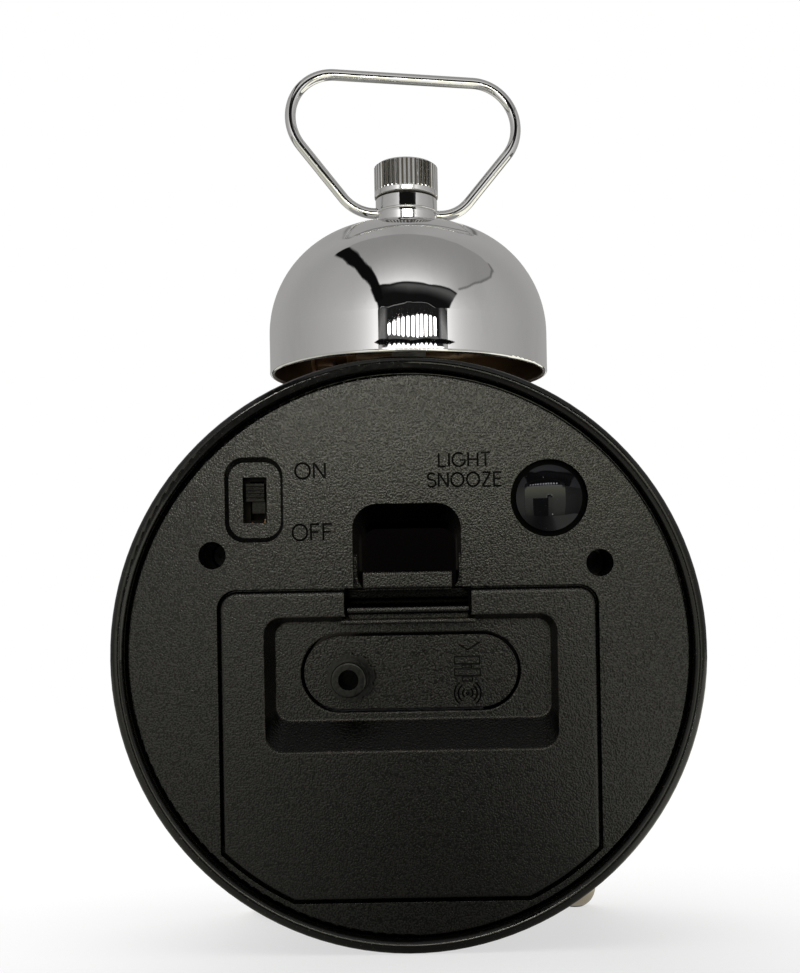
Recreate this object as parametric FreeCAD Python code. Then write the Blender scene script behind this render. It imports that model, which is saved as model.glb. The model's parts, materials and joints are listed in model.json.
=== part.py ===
import FreeCAD, Part
import math
import os

# Single bell alarm clock, in millimetres.
# Each piece is drawn in the case's own frame: the case axis lies along Y, the dial faces -Y,
# the back faces +Y, X is to the right of someone who reads the dial, and Z is up.
# The last step leans the whole clock back, so that it stands on two feet and the rear bead.

V = FreeCAD.Vector

# Case
DRUM_R = 48.6
DRUM_WALL = 0.7
DRUM_FRONT_Y = -22.0
BEAD_R = 1.1
RIM_R = 50.0
BACK_Y = 27.0
BEAD_CENTRE_R = RIM_R - BEAD_R
BEAD_Y = BACK_Y - BEAD_R
STOP_BEAD_Y = 23.35
STOP_BEAD_R = 0.55
BEZEL_BEAD_R = 1.6
BEZEL_BEAD_Y = -25.2
DIAL_OPENING_R = 44.4
BEZEL_SKIRT_Y = -19.0
BEZEL_SKIRT_R = 49.4

# Stance
LEAN_DEG = 6.6
FOOT_ANGLE_DEG = 31.5
FOOT_Y = -14.0
FOOT_BALL_R = 4.2
FOOT_BALL_Z = -50.7
FOOT_NECK_R = 2.3
FOOT_COLLAR_R = 4.0
FOOT_SHANK_R = 1.6

# Lens, spacer and dial
LENS_R = 46.4
LENS_EDGE_Y = -24.4
LENS_THICK = 1.6
LENS_CROWN = 1.4
SPACER_Y = (-22.7, -14.05)
SPACER_R = (44.6, 46.4)
DIAL_R = 46.3
DIAL_Y = (-14.0, -13.4)
LIGHT_Z = 42.2
LIGHT_R = 1.5

# Movement and its carrier
MOVE_SIDE = 56.0
MOVE_CORNER_R = 4.0
MOVE_Y = (-13.3, -1.5)
MOVE_LID_Y = (-1.4, 1.4)
BUSH_R = 3.5
BUSH_FRONT_Y = -16.2
BUSH_BORE_R = 2.55
BUSH_BORE_END_Y = -9.0
CARRIER_R = 46.7
CARRIER_Y = (-13.3, -12.0)
CARRIER_RIM_Y = -9.4
PILLAR_R = 3.0
PILLAR_END_Y = 10.7

# Hands: (tube outer radius, tube inner radius, tube end, hand front face)
HAND_THICK = 0.4
ALARM_TUBE = (2.5, 2.05, -10.6, -17.0)
HOUR_TUBE = (2.0, 1.5, -10.2, -18.0)
MINUTE_TUBE = (1.45, 0.8, -9.8, -19.0)
SECOND_PIN_R = 0.75
SECOND_PIN_END_Y = -9.4
SECOND_FRONT_Y = -20.1
HOUR_ANGLE = 304.8
MINUTE_ANGLE = 57.6
SECOND_ANGLE = 216.0
ALARM_ANGLE = 195.0

# Back cover
COVER_R = 47.2
COVER_Y = 26.0
COVER_THICK = 2.0
COVER_UNDER_Y = COVER_Y - COVER_THICK
SKIRT_R = (45.2, 46.4)
SKIRT_END_Y = 19.0
MOULD_WALL = 1.4
SCREWS_XZ = ((32.65, 17.2), (-32.3, 14.9))
SCREW_HOLE_R = 2.3
SCREW_BOSS_R = 3.8
SCREW_BOSS_END_Y = 11.0

# Battery door and what it covers
DOOR_HALF_W = 31.7
DOOR_TOP_Z = 11.0
DOOR_BOTTOM_Z = -41.1
DOOR_CUT_R = 45.6
DOOR_CORNER_R = 3.0
DOOR_THICK = 1.7
DOOR_GAP = 0.35
LEDGE = 1.2
RECESS_DEPTH = 4.0
RECESS_FLOOR_Y = COVER_Y - RECESS_DEPTH
RECESS_X = (-24.1, 22.9)
RECESS_Z = (-11.3, 5.6)
RECESS_MOUTH_X = (-25.0, 24.3)
RECESS_MOUTH_Z = (-16.1, 6.6)
RECESS_CORNER_R = 2.4
ISLAND_X = -0.15
ISLAND_Z = -3.2
ISLAND_W = 36.5
ISLAND_H = 12.4
ISLAND_GAP = 0.6
SHELF_Y = 17.3
SHELF_EDGE_Z = -8.8
BAY_FLOOR_Y = 6.9
BAY_HALF_X = 29.4
BAY_BOTTOM_Z = -38.0
BAY_CUT_R = 45.0
TAB_X = 11.0
TAB_W = 5.0
TAB_END_Z = -42.1

# Latch tongue and finger notch
NOTCH_W = 18.2
NOTCH_TOP_Z = 25.4
NOTCH_CORNER_R = 4.2
NOTCH_DEPTH = 8.0
NOTCH_FLOOR_W = 16.4
NOTCH_FLOOR_TOP_Z = 21.4
NOTCH_FLOOR_CORNER_R = 2.8
LATCH_SLOT_W = 21.4
LATCH_SLOT_Z = 6.0
LATCH_SLOT_CORNER_R = 1.2
LATCH_RIB = 0.8
LATCH_W = 20.4
LATCH_T = 1.1
LATCH_BEND_Y = 18.9
LATCH_LEGS_Z = (7.0, 10.6)
LATCH_LIP_Y = 24.4
LATCH_LIP_R = 0.75
CATCH_Y = 22.6
PAD_W = 14.9
PAD_Z = (11.1, 14.0)

# Batteries and contacts
CELL_R = 7.0
CELL_BODY = 48.8
CELL_NUB_R = 2.6
CELL_NUB = 1.2
CELL_Y = 14.1
CELL_UPPER_Z = -16.1
CELL_LOWER_Z = -30.3
CONTACT_T = 0.35

# Switch, button, knob and board
SWITCH_X = 25.5
SWITCH_Z = 26.4
SWITCH_RECESS = (9.8, 14.3, 3.3)
SWITCH_RECESS_FLOOR = (8.7, 12.7, 2.8)
SWITCH_RECESS_DEPTH = 1.0
SWITCH_WINDOW = (4.0, 7.7)
SLIDER_TRAVEL = 2.6
SLIDER_W = 3.1
SLIDER_H = 3.0
SLIDER_TOP_Y = 24.6
BUTTON_X = -24.0
BUTTON_Z = 25.9
BUTTON_HOLE_R = 6.5
BUTTON_R = 5.55
BUTTON_APEX_Y = 26.9
BUTTON_EDGE_Y = 25.8
BUTTON_FLANGE_R = 6.8
BUTTON_FLANGE_Y = (22.5, 23.6)
BUTTON_STEM_END_Y = 19.7
BUTTON_SLEEVE_R = (7.1, 8.2)
KNOB_X = 10.1
KNOB_Z = -4.0
KNOB_FLANGE_R = 4.15
KNOB_HUB_R = 3.0
KNOB_HOLE_R = 1.72
KNOB_SHAFT_R = 1.5
KNOB_NOTCHES = 8
KNOB_FLANGE_Y = (22.3, 23.3)
KNOB_TOP_Y = 26.9
BOARD_Y = (12.8, 14.3)
BOARD_Z = (21.6, 33.4)
BOARD_HALF_X = 33.0

# Bell, post, collar and nut
BELL_Y = 1.0
BELL_R = 26.0
BELL_WALL = 0.8
BELL_RIM_Z = 50.6
BELL_H = 28.7
BELL_SKIRT_H = 7.35
BELL_SHOULDER_R = 20.4
POST_R = 3.2
POST_STUD_R = 2.0
POST_FOOT_Z = 48.65
POST_SHOULDER_Z = 77.5
COLLAR_R = 5.8
COLLAR_TOP_Z = 84.0
NUT_R = 6.0
NUT_TOP_Z = 90.4
NUT_KNURL_Z = 85.1
NUT_TEETH = 44
NUT_TOOTH = 0.28

# Handle
HANDLE_WIRE_R = 1.0
HANDLE_Z = 81.2
HANDLE_TOP_Z = 106.9
HANDLE_KNEE_X = 9.75
HANDLE_CORNER_X = 30.7
HANDLE_KNEE_R = 7.5
HANDLE_CORNER_R = 8.3
HANDLE_END_X = 2.7
HANDLE_YAW_DEG = 10.7
HANDLE_BORE_R = 1.06

# Striker: a magnet pulls the short leg of a rocking arm, whose long leg carries the hammer
STRIKER_PIVOT_X = 13.0
STRIKER_PIVOT_Z = 38.0
STRIKER_Y = -7.7
STRIKER_HUB_R = 2.4
STRIP_W = 3.0
STRIP_T = 0.45
HAMMER_X = 15.2
HAMMER_Z = 57.4
HAMMER_L = 8.0
HAMMER_R = 3.0
HAMMER_END_R = 4.2
MAGNET_Z = 33.0
MAGNET_X = (-8.0, 9.0)
MAGNET_R = 4.0
MAGNET_CORE_R = 1.8
MAGNET_AIR_GAP = 1.2
BRACKET_Y = (-3.5, -2.7)

# Aerial
AERIAL_Z = -35.0
AERIAL_Y = -4.0
AERIAL_R = 3.8
AERIAL_L = 49.0
WINDING_R = 4.8
WINDING_L = 18.0


# Small geometry helpers

def outline(start, *steps):
    """Closed wire through 3-D points: a step is a point, or (middle, end) for an arc."""
    edges = []
    here = start
    for step in list(steps) + [start]:
        if isinstance(step, tuple):
            edges.append(Part.Arc(here, step[0], step[1]).toShape())
            here = step[1]
        elif here.distanceToPoint(step) > 1e-7:
            edges.append(Part.LineSegment(here, step).toShape())
            here = step
    return Part.Wire(edges)


def turned_y(start, *steps):
    """Solid turned about the case axis from an outline of (radius, y) points."""
    def at(p):
        return V(p[0], p[1], 0)
    mapped = [(at(s[0]), at(s[1])) if isinstance(s[0], tuple) else at(s) for s in steps]
    face = Part.Face(outline(at(start), *mapped))
    return face.revolve(V(0, 0, 0), V(0, 1, 0), 360)


def turned_z(start, *steps):
    """Solid turned about the bell's upright axis from an outline of (radius, z) points."""
    def at(p):
        return V(p[0], BELL_Y, p[1])
    mapped = [(at(s[0]), at(s[1])) if isinstance(s[0], tuple) else at(s) for s in steps]
    face = Part.Face(outline(at(start), *mapped))
    return face.revolve(V(0, BELL_Y, 0), V(0, 0, 1), 360)


def rod_y(x, z, r, y0, y1):
    return Part.makeCylinder(r, y1 - y0, V(x, y0, z), V(0, 1, 0))


def rod_z(x, y, r, z0, z1):
    return Part.makeCylinder(r, z1 - z0, V(x, y, z0), V(0, 0, 1))


def rod_x(y, z, r, x0, x1):
    return Part.makeCylinder(r, x1 - x0, V(x0, y, z), V(1, 0, 0))


def block(x0, x1, y0, y1, z0, z1):
    return Part.makeBox(x1 - x0, y1 - y0, z1 - z0, V(x0, y0, z0))


def tube_y(x, z, r_out, r_in, y0, y1):
    return rod_y(x, z, r_out, y0, y1).cut(rod_y(x, z, r_in, y0 - 1, y1 + 1))


def rounded_box_wire(x0, x1, z0, z1, r, y):
    """Rectangle with round corners in the plane of the dial, at depth y."""
    k = r * (1 - math.sqrt(0.5))
    return outline(
        V(x0 + r, y, z0),
        V(x1 - r, y, z0),
        (V(x1 - k, y, z0 + k), V(x1, y, z0 + r)),
        V(x1, y, z1 - r),
        (V(x1 - k, y, z1 - k), V(x1 - r, y, z1)),
        V(x0 + r, y, z1),
        (V(x0 + k, y, z1 - k), V(x0, y, z1 - r)),
        V(x0, y, z0 + r),
        (V(x0 + k, y, z0 + k), V(x0 + r, y, z0)),
    )


def rounded_block(x0, x1, z0, z1, r, y0, y1):
    return Part.Face(rounded_box_wire(x0, x1, z0, z1, r, y0)).extrude(V(0, y1 - y0, 0))


def tapered_block(inner, outer, r_inner, r_outer, y_inner, y_outer):
    """Loft between two round-cornered rectangles (x0, x1, z0, z1) at two depths."""
    low = rounded_box_wire(*inner, r_inner, y_inner)
    high = rounded_box_wire(*outer, r_outer, y_outer)
    return Part.makeLoft([low, high], True, True)


def stadium(x, z, w, h, y0, y1):
    """Round-ended slab: its ends are half circles."""
    half = w / 2 - h / 2
    wire = outline(
        V(x - half, y0, z - h / 2),
        V(x + half, y0, z - h / 2),
        (V(x + w / 2, y0, z), V(x + half, y0, z + h / 2)),
        V(x - half, y0, z + h / 2),
        (V(x - w / 2, y0, z), V(x - half, y0, z - h / 2)),
    )
    return Part.Face(wire).extrude(V(0, y1 - y0, 0))


def fillet_path(points, radii):
    """Open wire of straight runs joined by tangent arcs, one radius per inner point."""
    edges = []
    here = points[0]
    for i, r in enumerate(radii, start=1):
        to_back = (points[i - 1] - points[i]).normalize()
        to_next = (points[i + 1] - points[i]).normalize()
        half = to_back.getAngle(to_next) / 2
        reach = r / math.tan(half)
        start = points[i] + to_back * reach
        end = points[i] + to_next * reach
        middle_way = (to_back + to_next).normalize()
        centre = points[i] + middle_way * (r / math.sin(half))
        middle = centre - middle_way * r
        edges.append(Part.LineSegment(here, start).toShape())
        edges.append(Part.Arc(start, middle, end).toShape())
        here = end
    edges.append(Part.LineSegment(here, points[-1]).toShape())
    return Part.Wire(edges)


def swept(path, start, direction, r):
    """Round wire of radius r along a path that starts at start."""
    ring = Part.Wire(Part.Circle(start, direction, r).toShape())
    return path.makePipeShell([ring], True, False)


def coil(centre, axis, side, turns, length, r_start, r_end, wire_r):
    """Open coil of wire about axis: quarter-turn arcs, its radius running from start to end."""
    other = axis.cross(side)

    def at(t):
        angle = 2 * math.pi * turns * t
        r = r_start + (r_end - r_start) * t
        flat = side * (r * math.cos(angle)) + other * (r * math.sin(angle))
        return centre + flat + axis * (length * t)
    quarters = int(round(turns * 4))
    edges = []
    for q in range(quarters):
        t0 = q / quarters
        t1 = (q + 1) / quarters
        edges.append(Part.Arc(at(t0), at((t0 + t1) / 2), at(t1)).toShape())
    path = Part.Wire(edges)
    tangent = edges[0].tangentAt(edges[0].FirstParameter)
    return swept(path, at(0), tangent, wire_r)


def rounded(shape, r, wanted):
    """Fillet of radius r on the edges that wanted() picks."""
    edges = [e for e in shape.Edges if wanted(e)]
    return shape.makeFillet(r, edges) if edges else shape


def radial(angle_deg, distance, y):
    """Point at a distance from the case axis, angle counted from straight down towards +X."""
    a = math.radians(angle_deg)
    return V(distance * math.sin(a), y, -distance * math.cos(a))


# Case

def case_drum():
    inner = DRUM_R - DRUM_WALL
    outer_meet = BEAD_Y - math.sqrt(BEAD_R ** 2 - (BEAD_CENTRE_R - DRUM_R) ** 2)
    inner_meet = BEAD_Y - math.sqrt(BEAD_R ** 2 - (BEAD_CENTRE_R - inner) ** 2)
    drum = turned_y(
        (inner, DRUM_FRONT_Y),
        (DRUM_R, DRUM_FRONT_Y),
        (DRUM_R, outer_meet),
        ((RIM_R, BEAD_Y), (BEAD_CENTRE_R, BACK_Y)),
        ((BEAD_CENTRE_R - BEAD_R, BEAD_Y), (inner, inner_meet)),
        (inner, STOP_BEAD_Y + STOP_BEAD_R),
        ((inner - 1.1, STOP_BEAD_Y), (inner, STOP_BEAD_Y - STOP_BEAD_R)),
    )
    drum = drum.cut(rod_z(0, BELL_Y, POST_STUD_R + 0.1, inner - 3, DRUM_R + 3))
    slot_y = (STRIKER_Y - STRIP_W / 2 - 0.7, STRIKER_Y + STRIP_W / 2 + 0.7)
    drum = drum.cut(block(12.4, 17.4, slot_y[0], slot_y[1], 40, 50))
    for side in (-1, 1):
        axis = radial(side * FOOT_ANGLE_DEG, 1, 0)
        start = radial(side * FOOT_ANGLE_DEG, inner - 2, FOOT_Y)
        drum = drum.cut(Part.makeCylinder(FOOT_SHANK_R + 0.05, 6, start, axis))
    return drum.removeSplitter()


def bezel_ring():
    """Spun ring: skirt over the drum, rounded front and a lip that holds the lens."""
    bead_r = RIM_R - BEZEL_BEAD_R
    skirt_in = DRUM_R + 0.05
    meet = BEZEL_BEAD_Y + math.sqrt(BEZEL_BEAD_R ** 2 - (BEZEL_SKIRT_R - bead_r) ** 2)
    return turned_y(
        (skirt_in, BEZEL_SKIRT_Y),
        (BEZEL_SKIRT_R, BEZEL_SKIRT_Y),
        (BEZEL_SKIRT_R, meet),
        ((RIM_R, BEZEL_BEAD_Y), (bead_r, BEZEL_BEAD_Y - BEZEL_BEAD_R)),
        ((46.0, -26.1), (DIAL_OPENING_R, LENS_EDGE_Y - 0.7)),
        (DIAL_OPENING_R, LENS_EDGE_Y - 0.2),
        (47.6, LENS_EDGE_Y - 0.2),
        (skirt_in, DRUM_FRONT_Y - 0.1),
    )


def front_lens():
    """Slightly domed disc of even thickness: a round rod between two large spheres."""
    crown_r = (LENS_R ** 2 + LENS_CROWN ** 2) / (2 * LENS_CROWN)
    centre = V(0, LENS_EDGE_Y - LENS_CROWN + crown_r, 0)
    disc = rod_y(0, 0, LENS_R, LENS_EDGE_Y - LENS_CROWN - 1, LENS_EDGE_Y + LENS_THICK)
    disc = disc.common(Part.makeSphere(crown_r, centre))
    return disc.cut(Part.makeSphere(crown_r, centre + V(0, LENS_THICK, 0)))


def spacer_ring():
    ring = turned_y(
        (SPACER_R[0], SPACER_Y[0]),
        (SPACER_R[1], SPACER_Y[0]),
        (SPACER_R[1], SPACER_Y[1]),
        (SPACER_R[0] - 0.5, SPACER_Y[1]),
    )
    return ring


def foot_notch(side):
    """Room round a foot's upset end for the pieces inside the drum."""
    axis = radial(side * FOOT_ANGLE_DEG, 1, 0)
    start = radial(side * FOOT_ANGLE_DEG, 43.5, FOOT_Y)
    return Part.makeCylinder(3.2, 6, start, axis)


def dial_plate():
    dial = rod_y(0, 0, DIAL_R, DIAL_Y[0], DIAL_Y[1])
    dial = dial.cut(rod_y(0, 0, BUSH_R + 0.1, -20, 0))
    dial = dial.cut(rod_y(0, LIGHT_Z, LIGHT_R + 0.1, -20, 0))
    return dial


def dial_light():
    lamp = rod_y(0, LIGHT_Z, LIGHT_R, -15.2, -11.0)
    lens = Part.makeSphere(LIGHT_R, V(0, -15.2, LIGHT_Z))
    rim = rod_y(0, LIGHT_Z, LIGHT_R + 0.3, -11.9, -11.0)
    legs = [rod_y(x, LIGHT_Z, 0.25, -11.0, -7.0) for x in (-0.7, 0.7)]
    return lamp.fuse([lens, rim] + legs).removeSplitter()


def foot(side):
    """Turned ball foot: neck, collar that fits the drum, shank and upset end."""
    angle = side * FOOT_ANGLE_DEG
    axis = radial(angle, 1, 0)
    ball_distance = -FOOT_BALL_Z / math.cos(math.radians(FOOT_ANGLE_DEG))

    def cylinder(r, d0, d1):
        return Part.makeCylinder(r, d1 - d0, radial(angle, d0, FOOT_Y), axis)
    collar = cylinder(FOOT_COLLAR_R, DRUM_R - 0.6, DRUM_R + 1.5)
    flare_at = radial(angle, DRUM_R + 1.5, FOOT_Y)
    flare = Part.makeCone(FOOT_COLLAR_R - 0.5, FOOT_NECK_R, 1.6, flare_at, axis)
    neck = cylinder(FOOT_NECK_R, DRUM_R + 3, ball_distance)
    ball = Part.makeSphere(FOOT_BALL_R, radial(angle, ball_distance, FOOT_Y))
    body = collar.fuse([flare, neck, ball])
    body = body.cut(rod_y(0, 0, DRUM_R + 0.02, FOOT_Y - 10, FOOT_Y + 10))
    shank = cylinder(FOOT_SHANK_R, DRUM_R - DRUM_WALL - 0.4, DRUM_R + 1)
    upset = cylinder(FOOT_SHANK_R + 0.8, DRUM_R - DRUM_WALL - 0.85, DRUM_R - DRUM_WALL - 0.1)
    body = body.fuse([shank, upset]).removeSplitter()
    return body.cut(below_floor())


# Stance: the floor's plane touches the rear bead and cuts a small flat on each foot

def floor_height():
    lean = math.radians(LEAN_DEG)
    return -BEAD_Y * math.sin(lean) - BEAD_CENTRE_R * math.cos(lean) - BEAD_R


def middle_depth():
    """Half way between the foremost point (bezel's foot) and the rearmost (bell's shoulder)."""
    lean = math.radians(LEAN_DEG)
    bezel_r = RIM_R - BEZEL_BEAD_R
    front = BEZEL_BEAD_Y * math.cos(lean) - bezel_r * math.sin(lean) - BEZEL_BEAD_R
    shoulder_y = BELL_Y + BELL_R - BELL_SHOULDER_R
    shoulder_z = BELL_RIM_Z + BELL_SKIRT_H
    rear = shoulder_y * math.cos(lean) + shoulder_z * math.sin(lean) + BELL_SHOULDER_R
    return (front + rear) / 2


def below_floor():
    """Slab under the floor's plane, in the case frame."""
    slab = Part.makeBox(200, 200, 40, V(-100, -100, floor_height() - 40))
    slab.rotate(V(0, 0, 0), V(1, 0, 0), LEAN_DEG)
    return slab


# Movement

def movement_case():
    half = MOVE_SIDE / 2
    case = rounded_block(-half, half, -half, half, MOVE_CORNER_R, MOVE_Y[0], MOVE_Y[1])
    bush = rod_y(0, 0, BUSH_R, BUSH_FRONT_Y, MOVE_Y[0] + 1)
    case = case.fuse(bush)
    case = case.cut(rod_y(0, 0, BUSH_BORE_R, BUSH_FRONT_Y - 1, BUSH_BORE_END_Y))
    return case.removeSplitter()


def movement_cover():
    half = MOVE_SIDE / 2 - 0.8
    lid = rounded_block(-half, half, -half, half, MOVE_CORNER_R, MOVE_LID_Y[0], MOVE_LID_Y[1])
    rib = rounded_block(-half + 3, half - 3, -half + 3, half - 3, 3, MOVE_LID_Y[1] - 0.8, 3)
    lid = lid.cut(rib)
    clips = []
    for x, z, w, h in ((0, half, 8, 1.2), (0, -half, 8, 1.2), (half, 0, 1.2, 8), (-half, 0, 1.2, 8)):
        clips.append(block(x - w / 2, x + w / 2, MOVE_LID_Y[0], MOVE_LID_Y[1] + 0.6, z - h / 2, z + h / 2))
    ring = tube_y(KNOB_X, KNOB_Z, 3.4, KNOB_SHAFT_R + 0.05, 0, MOVE_LID_Y[1] + 1.2)
    lid = lid.fuse(clips + [ring])
    lid = lid.cut(rod_y(KNOB_X, KNOB_Z, KNOB_SHAFT_R + 0.05, MOVE_LID_Y[0] - 1, 5))
    return lid.removeSplitter()


def dial_nut():
    flat = 5.2
    corners = [V(flat * math.cos(math.radians(60 * k)), -15.8, flat * math.sin(math.radians(60 * k)))
               for k in range(6)]
    nut = Part.Face(outline(*corners)).extrude(V(0, 1.7, 0))
    return nut.cut(rod_y(0, 0, BUSH_R + 0.02, -20, -10))


def aerial_saddle(x):
    body = block(x - 1.5, x + 1.5, CARRIER_Y[0] + 0.4, AERIAL_Y, AERIAL_Z - 4.6, AERIAL_Z + 4.6)
    return body.cut(rod_x(AERIAL_Y, AERIAL_Z, AERIAL_R + 0.03, x - 3, x + 3))


def carrier_frame():
    """Moulded frame behind the dial: rim, screw pillars and aerial saddles."""
    plate = rod_y(0, 0, CARRIER_R, CARRIER_Y[0], CARRIER_Y[1])
    rim = tube_y(0, 0, CARRIER_R, CARRIER_R - 1.2, CARRIER_Y[0], CARRIER_RIM_Y)
    extras = [aerial_saddle(x) for x in (-17.0, 17.0)]
    for x, z in SCREWS_XZ:
        extras.append(rod_y(x, z, PILLAR_R, CARRIER_Y[0], PILLAR_END_Y))
        extras.append(block(x - 0.6, x + 0.6, CARRIER_Y[0], -4.0, z - 6.5, z + 6.5))
    frame = plate.fuse([rim] + extras)
    half = MOVE_SIDE / 2 + 0.4
    frame = frame.cut(rounded_block(-half, half, -half, half, MOVE_CORNER_R, -20, 3))
    frame = frame.cut(rod_y(0, LIGHT_Z, LIGHT_R + 0.5, -20, 0))
    for x, z in SCREWS_XZ:
        frame = frame.cut(rod_y(x, z, 1.2, PILLAR_END_Y - 9, PILLAR_END_Y + 1))
    for side in (-1, 1):
        frame = frame.cut(foot_notch(side))
    return frame.removeSplitter()


# Hands

def hand(length, tail, width, tip, tube, angle, hub_r):
    """Flat hand with a hub and a tube that reaches back into the movement's bush."""
    r_out, r_in, end_y, front_y = tube
    back_y = front_y + HAND_THICK
    shoulder = length * 0.78
    blade = Part.Face(outline(
        V(-width / 2, front_y, -tail),
        V(width / 2, front_y, -tail),
        V(width / 2 * 0.8, front_y, 0),
        V(width / 2, front_y, shoulder),
        V(tip / 2, front_y, length),
        V(-tip / 2, front_y, length),
        V(-width / 2, front_y, shoulder),
        V(-width / 2 * 0.8, front_y, 0),
    )).extrude(V(0, HAND_THICK, 0))
    hub = rod_y(0, 0, hub_r, front_y, back_y)
    stem = rod_y(0, 0, r_out, front_y, end_y)
    shape = blade.fuse([hub, stem])
    if r_in > 0:
        shape = shape.cut(rod_y(0, 0, r_in, front_y - 1, end_y + 1))
    shape = shape.removeSplitter()
    shape.rotate(V(0, 0, 0), V(0, 1, 0), angle)
    return shape


def second_hand():
    tube = (SECOND_PIN_R, 0, SECOND_PIN_END_Y, SECOND_FRONT_Y)
    shape = hand(37.0, 12.0, 0.9, 0.4, tube, 0, 1.9)
    weight = rod_y(0, -10.0, 1.8, SECOND_FRONT_Y, SECOND_FRONT_Y + HAND_THICK)
    cap = rod_y(0, 0, 1.2, SECOND_FRONT_Y - 0.5, SECOND_FRONT_Y)
    shape = shape.fuse([weight, cap]).removeSplitter()
    shape.rotate(V(0, 0, 0), V(0, 1, 0), SECOND_ANGLE)
    return shape


# Back cover and battery door

def door_wire(grow, y):
    """Door outline: straight sides and top, lower corners cut by an arc about the case axis."""
    half = DOOR_HALF_W + grow
    top = DOOR_TOP_Z + grow
    low = DOOR_BOTTOM_Z - grow
    cut_r = DOOR_CUT_R + grow
    r = DOOR_CORNER_R + grow
    k = r * (1 - math.sqrt(0.5))
    side_z = -math.sqrt(cut_r ** 2 - half ** 2)
    low_x = math.sqrt(cut_r ** 2 - low ** 2)
    mid = math.atan2(side_z + low, half + low_x)
    mid_x = cut_r * math.cos(mid)
    mid_z = cut_r * math.sin(mid)
    return outline(
        V(-low_x, y, low),
        V(low_x, y, low),
        (V(mid_x, y, mid_z), V(half, y, side_z)),
        V(half, y, top - r),
        (V(half - k, y, top - k), V(half - r, y, top)),
        V(-half + r, y, top),
        (V(-half + k, y, top - k), V(-half, y, top - r)),
        V(-half, y, side_z),
        (V(-mid_x, y, mid_z), V(-low_x, y, low)),
    )


def door_slab(grow, y0, y1):
    return Part.Face(door_wire(grow, y0)).extrude(V(0, y1 - y0, 0))


def notch_pocket():
    """Finger notch: its ceiling and sides slope in towards the floor."""
    low_z = DOOR_TOP_Z - 1.0
    inner = (-NOTCH_FLOOR_W / 2, NOTCH_FLOOR_W / 2, low_z, NOTCH_FLOOR_TOP_Z)
    outer = (-NOTCH_W / 2, NOTCH_W / 2, low_z, NOTCH_TOP_Z)
    y_in = COVER_Y - NOTCH_DEPTH
    loft = tapered_block(inner, outer, NOTCH_FLOOR_CORNER_R, NOTCH_CORNER_R, y_in, COVER_Y)
    lower = block(-NOTCH_W / 2, NOTCH_W / 2, COVER_UNDER_Y - 1.5, COVER_Y + 1, low_z, PAD_Z[1] + 3)
    return loft.fuse(lower)


def bay_hollow():
    """Space under the door: shallow over the shelf, deep over the cells."""
    shelf = door_slab(-LEDGE, SHELF_Y, COVER_UNDER_Y)
    latch = block(-LATCH_SLOT_W / 2, LATCH_SLOT_W / 2, SHELF_Y, COVER_UNDER_Y, 0, DOOR_TOP_Z + DOOR_GAP)
    deep = block(-BAY_HALF_X, BAY_HALF_X, BAY_FLOOR_Y, SHELF_Y + 1, BAY_BOTTOM_Z, SHELF_EDGE_Z)
    deep = deep.common(rod_y(0, 0, BAY_CUT_R, BAY_FLOOR_Y - 1, COVER_Y))
    return shelf.fuse([latch, deep])


def bay_walls():
    """Outside of the battery bay and of the shelf."""
    t = MOULD_WALL
    upper = door_slab(-LEDGE + t, SHELF_Y - t, COVER_UNDER_Y)
    latch = block(-LATCH_SLOT_W / 2 - t, LATCH_SLOT_W / 2 + t, SHELF_Y - t, COVER_UNDER_Y,
                  0, DOOR_TOP_Z + DOOR_GAP + t)
    deep = block(-BAY_HALF_X - t, BAY_HALF_X + t, BAY_FLOOR_Y - t, SHELF_Y,
                 BAY_BOTTOM_Z - t, SHELF_EDGE_Z + t)
    deep = deep.common(rod_y(0, 0, BAY_CUT_R + t, BAY_FLOOR_Y - 2, COVER_Y))
    return [upper, latch, deep]


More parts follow.
